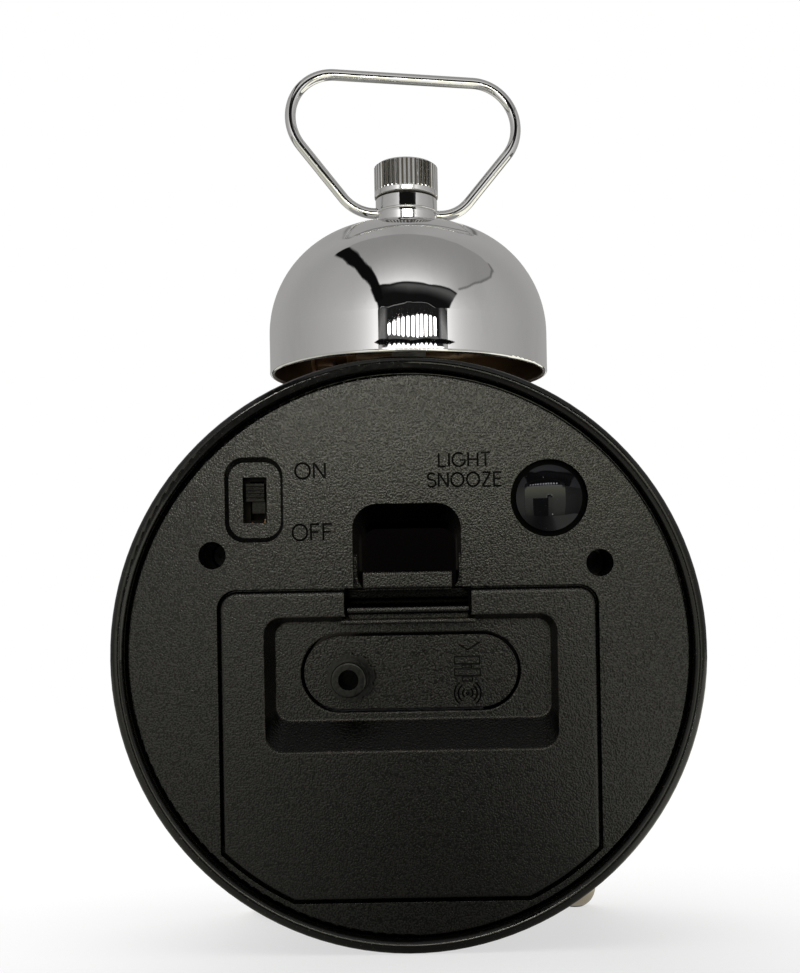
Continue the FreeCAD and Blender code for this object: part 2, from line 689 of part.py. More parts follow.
def back_cover():
    """Moulded back: plate, skirt, screw wells, button sleeve, finger notch and battery bay."""
    edge = 0.5
    plate = turned_y(
        (0, COVER_UNDER_Y),
        (COVER_R, COVER_UNDER_Y),
        (COVER_R, COVER_Y - edge),
        ((COVER_R - edge * 0.29, COVER_Y - edge * 0.29), (COVER_R - edge, COVER_Y)),
        (0, COVER_Y),
    )
    skirt = tube_y(0, 0, SKIRT_R[1], SKIRT_R[0], SKIRT_END_Y, COVER_UNDER_Y)
    t = MOULD_WALL
    notch_shell = rounded_block(-NOTCH_W / 2 - t, NOTCH_W / 2 + t, DOOR_TOP_Z, NOTCH_TOP_Z + t,
                                NOTCH_CORNER_R + t, COVER_Y - NOTCH_DEPTH - t, COVER_UNDER_Y)
    adds = [skirt, notch_shell] + bay_walls()
    for x, z in SCREWS_XZ:
        adds.append(rod_y(x, z, SCREW_BOSS_R, SCREW_BOSS_END_Y, COVER_UNDER_Y))
    adds.append(rod_y(BUTTON_X, BUTTON_Z, BUTTON_SLEEVE_R[1], 18.4, COVER_UNDER_Y))
    for x in (-13.0, 13.0):
        adds.append(rod_y(x, 30.4, 1.8, BOARD_Y[1] + 0.05, COVER_UNDER_Y))
    body = plate.fuse(adds)
    cuts = [door_slab(DOOR_GAP, COVER_UNDER_Y, COVER_Y + 1), bay_hollow(), notch_pocket()]
    for x, z in SCREWS_XZ:
        cuts.append(rod_y(x, z, SCREW_HOLE_R, SCREW_BOSS_END_Y + 1.5, COVER_Y + 1))
        cuts.append(rod_y(x, z, 1.4, SCREW_BOSS_END_Y - 1, COVER_Y))
    cuts.append(rod_y(BUTTON_X, BUTTON_Z, BUTTON_HOLE_R, 10, COVER_Y + 1))
    cuts.append(rod_y(BUTTON_X, BUTTON_Z, BUTTON_SLEEVE_R[0], 10, COVER_UNDER_Y))
    cuts.append(switch_recess())
    w, h = SWITCH_WINDOW
    cuts.append(block(SWITCH_X - w / 2, SWITCH_X + w / 2, 20, COVER_Y, SWITCH_Z - h / 2, SWITCH_Z + h / 2))
    for side in (-1, 1):
        x = side * TAB_X
        cuts.append(block(x - TAB_W / 2 - 0.4, x + TAB_W / 2 + 0.4, 21.6, COVER_UNDER_Y, -42.6, -38.5))
    body = body.cut(cuts[0])
    for tool in cuts[1:]:
        body = body.cut(tool)
    island = stadium(ISLAND_X, ISLAND_Z, ISLAND_W, ISLAND_H, SHELF_Y - 0.5, RECESS_FLOOR_Y)
    keep = block(-40, 40, SHELF_Y - 1, COVER_Y, ISLAND_Z - ISLAND_H, 20)
    body = body.fuse(island.common(keep))
    body = body.cut(rod_y(KNOB_X, KNOB_Z, KNOB_SHAFT_R + 0.06, 5, COVER_Y))
    return body.removeSplitter()


def switch_recess():
    w, h, r = SWITCH_RECESS
    wf, hf, rf = SWITCH_RECESS_FLOOR
    inner = (SWITCH_X - wf / 2, SWITCH_X + wf / 2, SWITCH_Z - hf / 2, SWITCH_Z + hf / 2)
    outer = (SWITCH_X - w / 2, SWITCH_X + w / 2, SWITCH_Z - h / 2, SWITCH_Z + h / 2)
    return tapered_block(inner, outer, rf, r, COVER_Y - SWITCH_RECESS_DEPTH, COVER_Y)


def door_recess_cut():
    inner = RECESS_X + RECESS_Z
    outer = RECESS_MOUTH_X + RECESS_MOUTH_Z
    r = RECESS_CORNER_R
    return tapered_block(inner, outer, r, r + 0.6, RECESS_FLOOR_Y, COVER_Y)


def door_recess_shell():
    t = 1.4
    inner = (RECESS_X[0] - t, RECESS_X[1] + t, RECESS_Z[0] - t * 0.9, RECESS_Z[1] + t)
    outer = (RECESS_MOUTH_X[0] - t, RECESS_MOUTH_X[1] + t, RECESS_MOUTH_Z[0] - t, RECESS_MOUTH_Z[1] + t)
    r = RECESS_CORNER_R + t
    return tapered_block(inner, outer, r, r + 0.6, RECESS_FLOOR_Y - t, COVER_Y - 0.2)


def latch_tongue():
    """U-shaped spring tongue: down from the door, round, and up to the catch and finger pad."""
    t = LATCH_T
    z0, z1 = LATCH_LEGS_Z
    mid_z = (z0 + z1) / 2
    y_arc = LATCH_BEND_Y + (z1 - z0) / 2
    half = LATCH_W / 2
    section = outline(
        V(-half, LATCH_LIP_Y, z0),
        V(-half, y_arc, z0),
        (V(-half, LATCH_BEND_Y, mid_z), V(-half, y_arc, z1)),
        V(-half, CATCH_Y, z1),
        V(-half, CATCH_Y, z1 - t),
        V(-half, y_arc, z1 - t),
        (V(-half, LATCH_BEND_Y + t, mid_z), V(-half, y_arc, z0 + t)),
        V(-half, LATCH_LIP_Y, z0 + t),
    )
    strap = Part.Face(section).extrude(V(LATCH_W, 0, 0))
    lip = rod_x(LATCH_LIP_Y, z0 + t / 2, LATCH_LIP_R, -half, half)
    catch = block(-half, half, CATCH_Y - 1.6, CATCH_Y, z1 - t, z1 + 0.3)
    pad_y = COVER_Y - 0.2
    low, high = PAD_Z
    pad = block(-PAD_W / 2, PAD_W / 2, CATCH_Y - 1.4, pad_y, low, high)
    under = block(-PAD_W / 2 - 1, PAD_W / 2 + 1, CATCH_Y - 2, pad_y - 1.3, low + 1.0, high + 1)
    pad = pad.cut(under)
    pad = rounded(pad, 0.4, lambda e: abs(e.BoundBox.YMin - pad_y) < 1e-6 and e.Length > PAD_W - 0.1)
    root = block(-PAD_W / 2, PAD_W / 2, CATCH_Y - 1.4, CATCH_Y, z1 - 0.1, low + 1.0)
    return strap.fuse([lip, catch, pad, root])


def latch_slot():
    """Opening in the door for the tongue, open at the door's top edge."""
    half = LATCH_SLOT_W / 2
    return rounded_block(-half, half, LATCH_SLOT_Z, DOOR_TOP_Z + 5, LATCH_SLOT_CORNER_R, 10, COVER_Y + 1)


def latch_rib():
    """Thin wall between the slot and the door's recess, and the web that holds the tongue."""
    half = LATCH_SLOT_W / 2
    y0 = RECESS_FLOOR_Y - 1.4
    z0 = LATCH_SLOT_Z - LATCH_RIB
    wall = block(-half - 0.6, half + 0.6, y0, COVER_Y - 0.25, z0, LATCH_SLOT_Z)
    wall = rounded(wall, 0.3, lambda e: e.BoundBox.YMin > COVER_Y - 0.26 and e.Length > 5)
    web = block(-LATCH_W / 2, LATCH_W / 2, y0, 23.2, z0, LATCH_LEGS_Z[0] + 0.4)
    return wall.fuse(web)


def battery_door():
    """Door with its recess, the long hole round the pedestal, the latch and two hinge tabs."""
    y0 = COVER_Y - DOOR_THICK
    door = door_slab(0, y0, COVER_Y)
    door = rounded(door, 0.8, lambda e: e.BoundBox.YMin > COVER_Y - 1e-6)
    door = door.fuse(door_recess_shell())
    door = door.cut(door_recess_cut())
    hole = stadium(ISLAND_X, ISLAND_Z, ISLAND_W + 2 * ISLAND_GAP, ISLAND_H + 2 * ISLAND_GAP, 15, COVER_Y)
    door = door.cut(hole)
    door = door.cut(latch_slot()).fuse([latch_rib(), latch_tongue()])
    tabs = []
    for side in (-1, 1):
        x = side * TAB_X
        x0 = x - TAB_W / 2
        x1 = x + TAB_W / 2
        tabs.append(block(x0, x1, 22.5, y0 + 0.2, DOOR_BOTTOM_Z + 0.2, DOOR_BOTTOM_Z + 1.6))
        tabs.append(block(x0, x1, 22.5, 23.65, TAB_END_Z, DOOR_BOTTOM_Z + 1.6))
    return door.fuse(tabs).removeSplitter()


def cover_screws():
    """Two pan-head screws at the bottom of the wells."""
    seat = SCREW_BOSS_END_Y + 1.5
    screws = []
    for x, z in SCREWS_XZ:
        head = rod_y(x, z, 2.1, seat + 0.02, seat + 1.7)
        slot = block(x - 2.5, x + 2.5, seat + 1.0, seat + 3, z - 0.3, z + 0.3)
        cross = block(x - 0.3, x + 0.3, seat + 1.0, seat + 3, z - 2.5, z + 2.5)
        shank = rod_y(x, z, 1.15, PILLAR_END_Y - 7, seat + 0.5)
        screws.append(head.cut(slot.common(rod_y(x, z, 1.3, 0, 30))).cut(
            cross.common(rod_y(x, z, 1.3, 0, 30))).fuse(shank))
    return Part.makeCompound(screws)


# Batteries and contacts

def battery_cell(z, nub_side):
    body = rod_x(CELL_Y, z, CELL_R, -CELL_BODY / 2, CELL_BODY / 2)
    body = rounded(body, 0.6, lambda e: True)
    root = V(nub_side * (CELL_BODY / 2 - 0.2), CELL_Y, z)
    nub = Part.makeCylinder(CELL_NUB_R, CELL_NUB + 0.2, root, V(nub_side, 0, 0))
    return body.fuse(nub).removeSplitter()


def contact_plate(side, z, height):
    """Flat plate against the bay's end wall, cut where the bay's lower corner is."""
    x = side * (BAY_HALF_X - 0.05)
    x0 = min(x, x - side * CONTACT_T)
    plate = block(x0, x0 + CONTACT_T, CELL_Y - 5.5, CELL_Y + 5.0, z - height / 2, z + height / 2)
    return plate.common(rod_y(0, 0, DOOR_CUT_R - LEDGE - 0.3, 0, COVER_Y))


def contact_button(side, z):
    """Raised dimple that meets a cell's nub."""
    x = side * (BAY_HALF_X - 0.05 - CONTACT_T)
    reach = abs(x) - CELL_BODY / 2 - CELL_NUB - 0.05
    return Part.makeCone(4.0, 2.4, reach, V(x, CELL_Y, z), V(-side, 0, 0))


def contact_spring(side, z):
    """Tapered coil that presses on a cell's flat end."""
    wire_r = 0.3
    x = side * (BAY_HALF_X - 0.05 - CONTACT_T - wire_r * 0.6)
    length = abs(x) - CELL_BODY / 2 - wire_r - 0.05
    return coil(V(x, CELL_Y, z), V(-side, 0, 0), V(0, 1, 0), 3.0, length, 4.2, 2.4, wire_r)


def contact_link():
    mid = (CELL_UPPER_Z + CELL_LOWER_Z) / 2
    height = CELL_UPPER_Z - CELL_LOWER_Z + 9.0
    plate = contact_plate(-1, mid, height)
    return plate.fuse([contact_button(-1, CELL_UPPER_Z), contact_spring(-1, CELL_LOWER_Z)])


def contact_plus():
    return contact_plate(1, CELL_LOWER_Z, 9.0).fuse(contact_button(1, CELL_LOWER_Z))


def contact_minus():
    return contact_plate(1, CELL_UPPER_Z, 10.0).fuse(contact_spring(1, CELL_UPPER_Z))


# Switch, button, knob and board

def switch_body():
    y0 = BOARD_Y[1] + 0.02
    body = block(SWITCH_X - 3.2, SWITCH_X + 3.2, y0, 22.4, SWITCH_Z - 5.4, SWITCH_Z + 5.4)
    slot = block(SWITCH_X - 1.15, SWITCH_X + 1.15, 19.6, 23, SWITCH_Z - 3.3, SWITCH_Z + 3.3)
    return body.cut(slot)


def switch_slider():
    """Ribbed slider, up at ON, with a lower step and a stem in the switch body."""
    z = SWITCH_Z + SLIDER_TRAVEL / 2
    half_w = SLIDER_W / 2
    half_h = SLIDER_H / 2
    head = block(SWITCH_X - half_w, SWITCH_X + half_w, 22.7, SLIDER_TOP_Y, z - half_h, z + half_h)
    step = block(SWITCH_X - half_w, SWITCH_X + 0.7, 22.7, 23.5, z - half_h - 2.0, z - half_h)
    stem = block(SWITCH_X - 1.0, SWITCH_X + 1.0, 19.9, 23.0, z - 1.4, z + 1.4)
    slider = head.fuse([step, stem])
    ribs = 5
    pitch = SLIDER_H / ribs
    for k in range(1, ribs):
        groove_z = z - half_h + k * pitch
        slider = slider.cut(rod_x(SLIDER_TOP_Y + 0.08, groove_z, 0.2, SWITCH_X - 3, SWITCH_X + 3))
    return slider.removeSplitter()


def snooze_button():
    """Domed cap with a flange that holds it under the cover, and a stem."""
    rise = BUTTON_APEX_Y - BUTTON_EDGE_Y
    dome_r = (BUTTON_R ** 2 + rise ** 2) / (2 * rise)
    half = math.asin(BUTTON_R / dome_r) / 2
    mid = (dome_r * math.sin(half), BUTTON_APEX_Y - dome_r * (1 - math.cos(half)))
    cap = turned_y(
        (0, BUTTON_FLANGE_Y[0]),
        (BUTTON_FLANGE_R, BUTTON_FLANGE_Y[0]),
        (BUTTON_FLANGE_R, BUTTON_FLANGE_Y[1]),
        (BUTTON_R, BUTTON_FLANGE_Y[1]),
        (BUTTON_R, BUTTON_EDGE_Y),
        (mid, (0, BUTTON_APEX_Y)),
    )
    stem = rod_y(0, 0, 2.0, BUTTON_STEM_END_Y, BUTTON_FLANGE_Y[0] + 0.5)
    cap = cap.fuse(stem).removeSplitter()
    cap.translate(V(BUTTON_X, 0, BUTTON_Z))
    return cap


def button_spring():
    wire_r = 0.3
    y0 = BOARD_Y[1] + wire_r + 0.02
    length = BUTTON_FLANGE_Y[0] - y0 - wire_r - 0.02
    return coil(V(BUTTON_X, y0, BUTTON_Z), V(0, 1, 0), V(1, 0, 0), 4.0, length, 5.6, 5.6, wire_r)


def push_switch():
    y0 = BOARD_Y[1] + 0.02
    body = block(BUTTON_X - 3.1, BUTTON_X + 3.1, y0, 17.7, BUTTON_Z - 3.1, BUTTON_Z + 3.1)
    return body.fuse(rod_y(BUTTON_X, BUTTON_Z, 1.7, 17.0, 18.3)).removeSplitter()


def control_board():
    board = rounded_block(-BOARD_HALF_X, BOARD_HALF_X, BOARD_Z[0], BOARD_Z[1], 1.5, BOARD_Y[0], BOARD_Y[1])
    chip = block(-4.5, 4.5, BOARD_Y[1], BOARD_Y[1] + 1.6, 27.8, 32.0)
    resistors = [block(x - 1, x + 1, BOARD_Y[1], BOARD_Y[1] + 0.6, 23.4, 24.6) for x in (-9, -4, 4, 9, 13)]
    capacitor = rod_y(-12.0, 29.5, 2.5, BOARD_Y[0] - 5.0, BOARD_Y[0])
    return board.fuse([chip, capacitor] + resistors).removeSplitter()


def alarm_set_knob():
    """Knob with a notched flange, a hollow hub and the shaft into the movement."""
    flange = rod_y(0, 0, KNOB_FLANGE_R, KNOB_FLANGE_Y[0], KNOB_FLANGE_Y[1])
    for k in range(KNOB_NOTCHES):
        a = math.radians(11.7 + 360 / KNOB_NOTCHES * k)
        x = (KNOB_FLANGE_R + 0.25) * math.cos(a)
        z = (KNOB_FLANGE_R + 0.25) * math.sin(a)
        flange = flange.cut(rod_y(x, z, 0.62, KNOB_FLANGE_Y[0] - 1, KNOB_FLANGE_Y[1] + 1))
    hub = rod_y(0, 0, KNOB_HUB_R, KNOB_FLANGE_Y[1] - 0.5, KNOB_TOP_Y)
    hub = rounded(hub, 0.35, lambda e: e.BoundBox.YMin > KNOB_TOP_Y - 1e-6)
    hub = hub.cut(rod_y(0, 0, KNOB_HOLE_R, KNOB_FLANGE_Y[1] + 0.3, KNOB_TOP_Y + 1))
    shaft = rod_y(0, 0, KNOB_SHAFT_R, MOVE_LID_Y[0] + 0.2, KNOB_FLANGE_Y[0] + 0.5)
    knob = flange.fuse([hub, shaft]).removeSplitter()
    knob.translate(V(KNOB_X, 0, KNOB_Z))
    return knob


# Bell and what carries it

def bell_profile(inset):
    """Outer wall of the bell, or the wall inset by a thickness: key points and arc middles."""
    r = BELL_R - inset
    shoulder = BELL_SHOULDER_R - inset
    k = BELL_R - BELL_SHOULDER_R
    drop = BELL_H - BELL_SKIRT_H
    crown = (k * k + drop ** 2 - BELL_SHOULDER_R ** 2) / (2 * (drop - BELL_SHOULDER_R))
    crown_z = BELL_RIM_Z + BELL_H - crown
    skirt_z = BELL_RIM_Z + BELL_SKIRT_H
    meet = math.atan2(skirt_z - crown_z, k)
    crown_r = crown - inset

    def on_shoulder(a):
        return (k + shoulder * math.cos(a), skirt_z + shoulder * math.sin(a))

    def on_crown(a):
        return (crown_r * math.cos(a), crown_z + crown_r * math.sin(a))
    high = (math.pi / 2 + meet) / 2
    return r, skirt_z, on_shoulder(meet / 2), on_shoulder(meet), on_crown(high), on_crown(math.pi / 2)


def bell():
    """Pressed dome with a folded rim and a hole for the post's stud."""
    r, skirt_z, sh_mid, sh_end, cr_mid, top = bell_profile(0)
    ri, _, shi_mid, shi_end, cri_mid, topi = bell_profile(BELL_WALL)
    dome = turned_z(
        (r, BELL_RIM_Z + 0.6),
        (r, skirt_z),
        (sh_mid, sh_end),
        (cr_mid, top),
        topi,
        (cri_mid, shi_end),
        (shi_mid, (ri, skirt_z)),
        (ri, BELL_RIM_Z + 0.6),
        ((ri + BELL_WALL / 2, BELL_RIM_Z), (r, BELL_RIM_Z + 0.6)),
    )
    return dome.cut(rod_z(0, BELL_Y, POST_STUD_R + 0.1, 70, 90))


def bell_post():
    """Turned post: foot, body, shoulder under the bell and a stud at each end."""
    post = turned_z(
        (0, 42.6),
        (POST_STUD_R, 42.6),
        (POST_STUD_R, POST_FOOT_Z),
        (5.2, POST_FOOT_Z),
        (5.2, POST_FOOT_Z + 1.2),
        (POST_R, POST_FOOT_Z + 2.6),
        (POST_R, POST_SHOULDER_Z - 1.4),
        (4.4, POST_SHOULDER_Z - 0.6),
        (4.4, POST_SHOULDER_Z),
        (POST_STUD_R, POST_SHOULDER_Z),
        (POST_STUD_R, NUT_TOP_Z - 1.2),
        (0, NUT_TOP_Z - 1.2),
    )
    return post


def bell_washer():
    washer = rod_z(0, BELL_Y, 4.8, POST_SHOULDER_Z + 0.02, POST_SHOULDER_Z + 0.5)
    return washer.cut(rod_z(0, BELL_Y, POST_STUD_R + 0.05, 70, 90))


def post_nut():
    """Hexagon nut inside the case: it clamps the striker's bracket and the post."""
    corner_r = 7.0 / math.sqrt(3)
    corners = []
    for k in range(6):
        a = math.radians(60 * k)
        corners.append(V(corner_r * math.cos(a), BELL_Y + corner_r * math.sin(a), 43.2))
    nut = Part.Face(outline(*corners)).extrude(V(0, 0, 3.2))
    return nut.cut(rod_z(0, BELL_Y, POST_STUD_R + 0.02, 40, 50))


def handle_frame(points):
    """Turns points (across, z) of the handle's plane into the case frame."""
    yaw = math.radians(HANDLE_YAW_DEG)
    return [V(u * math.cos(yaw), BELL_Y + u * math.sin(yaw), z) for u, z in points]


def handle():
    """Bent wire: ends level in the collar, legs leaning out, top bar level."""
    right = [
        (HANDLE_END_X, HANDLE_Z),
        (HANDLE_KNEE_X, HANDLE_Z),
        (HANDLE_CORNER_X, HANDLE_TOP_Z),
    ]
    left = [(-u, z) for u, z in reversed(right)]
    points = handle_frame(right + left)
    radii = [HANDLE_KNEE_R, HANDLE_CORNER_R, HANDLE_CORNER_R, HANDLE_KNEE_R]
    path = fillet_path(points, radii)
    return swept(path, points[0], points[1] - points[0], HANDLE_WIRE_R)


def handle_collar():
    """Turned collar on the bell's crown, with a cross hole for each wire end."""
    _, _, _, sh_end, cr_mid, top = bell_profile(-0.02)
    seat = turned_z((0, 60), (sh_end[0], 60), sh_end, (cr_mid, top))
    seam = 0.25
    collar = turned_z(
        (0, top[1] - 1.5),
        (COLLAR_R, top[1] - 1.5),
        (COLLAR_R, HANDLE_Z - seam),
        ((COLLAR_R - seam * 0.6, HANDLE_Z), (COLLAR_R, HANDLE_Z + seam)),
        (COLLAR_R, COLLAR_TOP_Z - 0.3),
        (COLLAR_R - 0.3, COLLAR_TOP_Z),
        (0, COLLAR_TOP_Z),
    )
    collar = collar.cut(seat)
    collar = collar.cut(rod_z(0, BELL_Y, POST_STUD_R + 0.05, 70, 90))
    for side in (-1, 1):
        start, end = handle_frame([(side * (HANDLE_END_X - 0.15), HANDLE_Z), (side * 8.0, HANDLE_Z)])
        way = end - start
        collar = collar.cut(Part.makeCylinder(HANDLE_BORE_R, way.Length, start, way))
    return collar


def knurled_nut():
    """Closed cap nut: toothed band above a plain band, chamfered top."""
    base_z = COLLAR_TOP_Z + 0.05
    body = turned_z(
        (0, base_z),
        (NUT_R - 0.25, base_z),
        (NUT_R, base_z + 0.25),
        (NUT_R, NUT_TOP_Z - 0.5),
        (NUT_R - 0.7, NUT_TOP_Z),
        (0, NUT_TOP_Z),
    )
    valley = NUT_R - NUT_TOOTH
    half = math.pi / NUT_TEETH
    points = []
    for k in range(NUT_TEETH):
        a = 2 * half * k
        points.append(V(NUT_R * math.cos(a), BELL_Y + NUT_R * math.sin(a), NUT_KNURL_Z))
        points.append(V(valley * math.cos(a + half), BELL_Y + valley * math.sin(a + half), NUT_KNURL_Z))
    star = Part.Face(outline(*points)).extrude(V(0, 0, NUT_TOP_Z))
    ring = turned_z((0, NUT_KNURL_Z), (NUT_R + 1, NUT_KNURL_Z), (NUT_R + 1, NUT_TOP_Z + 1), (0, NUT_TOP_Z + 1))
    body = body.cut(ring.cut(star))
    return body.cut(rod_z(0, BELL_Y, POST_STUD_R + 0.02, base_z - 1, NUT_TOP_Z - 1.0))


# Striker

def striker_bracket():
    """Pressed bracket: upright plate, a lug that holds the magnet and a foot under the post's nut."""
    y0, y1 = BRACKET_Y
    x0 = MAGNET_X[0] - 1.2
    plate = rounded_block(x0, STRIKER_PIVOT_X + 4, 29.5, 43.0, 2.0, y0, y1)
    riser = block(-5.5, 5.5, y0, y1, 42.0, 47.3)
    foot_plate = block(-5.5, 5.5, y0, 5.6, 46.5, 47.3)
    lug = block(x0, x0 + 1.0, STRIKER_Y - 3.5, y1, 29.5, MAGNET_Z + 4)
    body = plate.fuse([riser, foot_plate, lug])
    body = body.cut(rod_z(0, BELL_Y, POST_STUD_R + 0.1, 40, 50))
    body = body.cut(rod_x(STRIKER_Y, MAGNET_Z, MAGNET_CORE_R + 0.02, x0 - 1, MAGNET_X[0]))
    body = body.cut(rod_y(STRIKER_PIVOT_X, STRIKER_PIVOT_Z, 1.02, -5, 5))
    return body.removeSplitter()


def pivot_pin():
    x = STRIKER_PIVOT_X
    z = STRIKER_PIVOT_Z
    front = STRIKER_Y - STRIP_W / 2 - 0.4
    pin = rod_y(x, z, 1.0, front, BRACKET_Y[1] + 0.5)
    head = rod_y(x, z, 1.7, front - 0.6, front)
    return pin.fuse(head).removeSplitter()


def magnet_core():
    """Soft iron core with a wider pole at the striker's side."""
    pole_x = MAGNET_X[1] + 0.05
    core = rod_x(STRIKER_Y, MAGNET_Z, MAGNET_CORE_R, MAGNET_X[0] - 1.6, pole_x + 0.2)
    pole = rod_x(STRIKER_Y, MAGNET_Z, 2.6, pole_x, pole_x + 0.9)
    return core.fuse(pole).removeSplitter()


def magnet_coil():
    """Bobbin flanges and the winding between them."""
    x0, x1 = MAGNET_X
    bore = rod_x(STRIKER_Y, MAGNET_Z, MAGNET_CORE_R + 0.03, x0 - 1, x1 + 1)
    flanges = [rod_x(STRIKER_Y, MAGNET_Z, MAGNET_R, a, a + 0.8) for a in (x0 + 0.05, x1 - 0.8)]
    winding = rod_x(STRIKER_Y, MAGNET_Z, MAGNET_R - 0.5, x0 + 0.4, x1 - 0.4)
    return winding.fuse(flanges).cut(bore).removeSplitter()


def striker_strip(t, past):
    """Sheet in the striker's plane, from the pivot to a little past the hammer's middle."""
    pivot = V(STRIKER_PIVOT_X, STRIKER_Y - STRIP_W / 2, STRIKER_PIVOT_Z)
    head = V(HAMMER_X, pivot.y, HAMMER_Z + past)
    across = (head - pivot).cross(V(0, 1, 0)).normalize() * (t / 2)
    face = Part.Face(outline(pivot - across, pivot + across, head + across, head - across))
    return face.extrude(V(0, STRIP_W, 0))


def striker_arm():
    """Hub on the pin, spring strip up to the hammer, and the short leg beside the magnet's pole."""
    y0 = STRIKER_Y - STRIP_W / 2
    y1 = STRIKER_Y + STRIP_W / 2
    x = STRIKER_PIVOT_X
    hub = rod_y(x, STRIKER_PIVOT_Z, STRIKER_HUB_R, y0, y1)
    face_x = MAGNET_X[1] + 0.95 + MAGNET_AIR_GAP
    leg = Part.Face(outline(
        V(x + STRIKER_HUB_R, y0 - 0.6, STRIKER_PIVOT_Z),
        V(x - STRIKER_HUB_R, y0 - 0.6, STRIKER_PIVOT_Z),
        V(face_x, y0 - 0.6, MAGNET_Z + 3.0),
        V(face_x, y0 - 0.6, MAGNET_Z - 3.0),
        V(face_x + 1.6, y0 - 0.6, MAGNET_Z - 3.0),
    )).extrude(V(0, STRIP_W + 1.2, 0))
    arm = hub.fuse([leg.common(block(0, 30, y0, y1, 20, 60)), striker_strip(STRIP_T, 0)])
    return arm.cut(rod_y(x, STRIKER_PIVOT_Z, 1.06, y0 - 1, y1 + 1)).removeSplitter()


def hammer_head():
    """Turned brass spool pinched on the strip: its outer end strikes the bell."""
    x0 = HAMMER_X - HAMMER_L / 2
    x1 = HAMMER_X + HAMMER_L / 2
    body = rod_x(STRIKER_Y, HAMMER_Z, HAMMER_R, x0, x1)
    inner_end = rod_x(STRIKER_Y, HAMMER_Z, HAMMER_END_R, x0, x0 + 1.0)
    outer_end = rod_x(STRIKER_Y, HAMMER_Z, HAMMER_END_R, x1 - 0.7, x1)
    slit = striker_strip(STRIP_T + 0.04, 0.1)
    return body.fuse([inner_end, outer_end]).cut(slit).removeSplitter()


def striker_spring():
    """Fine coil on the pin between the bracket and the arm, which brings the arm back."""
    wire_r = 0.2
    y0 = STRIKER_Y + STRIP_W / 2 + wire_r + 0.1
    length = BRACKET_Y[0] - wire_r - 0.1 - y0
    return coil(V(STRIKER_PIVOT_X, y0, STRIKER_PIVOT_Z), V(0, 1, 0), V(1, 0, 0), 3.0, length, 1.7, 1.7, wire_r)


# Aerial

def aerial_rod():
    return rod_x(AERIAL_Y, AERIAL_Z, AERIAL_R, -AERIAL_L / 2, AERIAL_L / 2)


def aerial_winding():
    body = rod_x(AERIAL_Y, AERIAL_Z, WINDING_R, -WINDING_L / 2, WINDING_L / 2)
    body = body.cut(rod_x(AERIAL_Y, AERIAL_Z, AERIAL_R + 0.03, -WINDING_L, WINDING_L))
    return body


# Assembly

NODES = {
    "case_drum": case_drum,
    "bezel_ring": bezel_ring,
    "front_lens": front_lens,
    "spacer_ring": spacer_ring,
    "dial_plate": dial_plate,
    "dial_light": dial_light,
    "dial_nut": dial_nut,
    "foot_left": lambda: foot(-1),
    "foot_right": lambda: foot(1),
    "movement_case": movement_case,
    "movement_cover": movement_cover,
    "carrier_frame": carrier_frame,
    "hour_hand": lambda: hand(24.5, 6.0, 2.6, 0.6, HOUR_TUBE, HOUR_ANGLE, 3.1),
    "minute_hand": lambda: hand(35.5, 8.0, 2.2, 0.6, MINUTE_TUBE, MINUTE_ANGLE, 2.6),
    "second_hand": second_hand,
    "alarm_hand": lambda: hand(19.0, 4.5, 1.6, 0.5, ALARM_TUBE, ALARM_ANGLE, 3.4),
    "back_cover": back_cover,
    "battery_door": battery_door,
    "cover_screws": cover_screws,
    "battery_cell_upper": lambda: battery_cell(CELL_UPPER_Z, -1),
    "battery_cell_lower": lambda: battery_cell(CELL_LOWER_Z, 1),
    "contact_link": contact_link,
    "contact_plus": contact_plus,
    "contact_minus": contact_minus,
    "switch_body": switch_body,
    "switch_slider": switch_slider,
    "snooze_button": snooze_button,
    "button_spring": button_spring,
    "push_switch": push_switch,
    "control_board": control_board,
    "alarm_set_knob": alarm_set_knob,
    "bell": bell,
    "bell_post": bell_post,
    "bell_washer": bell_washer,
    "post_nut": post_nut,
    "handle_collar": handle_collar,
    "knurled_nut": knurled_nut,
    "handle": handle,
    "striker_bracket": striker_bracket,
    "pivot_pin": pivot_pin,
    "magnet_core": magnet_core,
    "magnet_coil": magnet_coil,
    "striker_arm": striker_arm,
    "striker_spring": striker_spring,
    "hammer_head": hammer_head,
    "aerial_rod": aerial_rod,
    "aerial_winding": aerial_winding,
}


def main():
    os.makedirs("parts", exist_ok=True)
    for name, make in NODES.items():
        shape = make()
        shape.rotate(V(0, 0, 0), V(1, 0, 0), -LEAN_DEG)
        shape.translate(V(0, -middle_depth(), -floor_height()))
        shape.exportStep("parts/" + name + ".step")
        print(name, shape.isValid(), len(shape.Solids), round(shape.Volume, 1))


main()
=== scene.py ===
import json
import math

import bmesh
import bpy
import numpy as np
from mathutils import Matrix, Vector


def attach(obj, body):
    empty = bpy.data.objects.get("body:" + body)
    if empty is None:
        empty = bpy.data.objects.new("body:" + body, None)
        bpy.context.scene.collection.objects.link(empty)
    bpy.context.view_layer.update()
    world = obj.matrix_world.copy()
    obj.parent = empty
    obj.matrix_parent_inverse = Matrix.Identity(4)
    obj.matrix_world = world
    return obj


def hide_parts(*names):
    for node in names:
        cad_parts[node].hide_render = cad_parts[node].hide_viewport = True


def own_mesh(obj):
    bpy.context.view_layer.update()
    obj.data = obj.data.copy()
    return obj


# Single bell alarm clock, seen from the back.
# Places are given in the case's own frame, in millimetres: X is to the right of someone who
# reads the dial, Y runs from the dial to the back, and Z is up along the case.

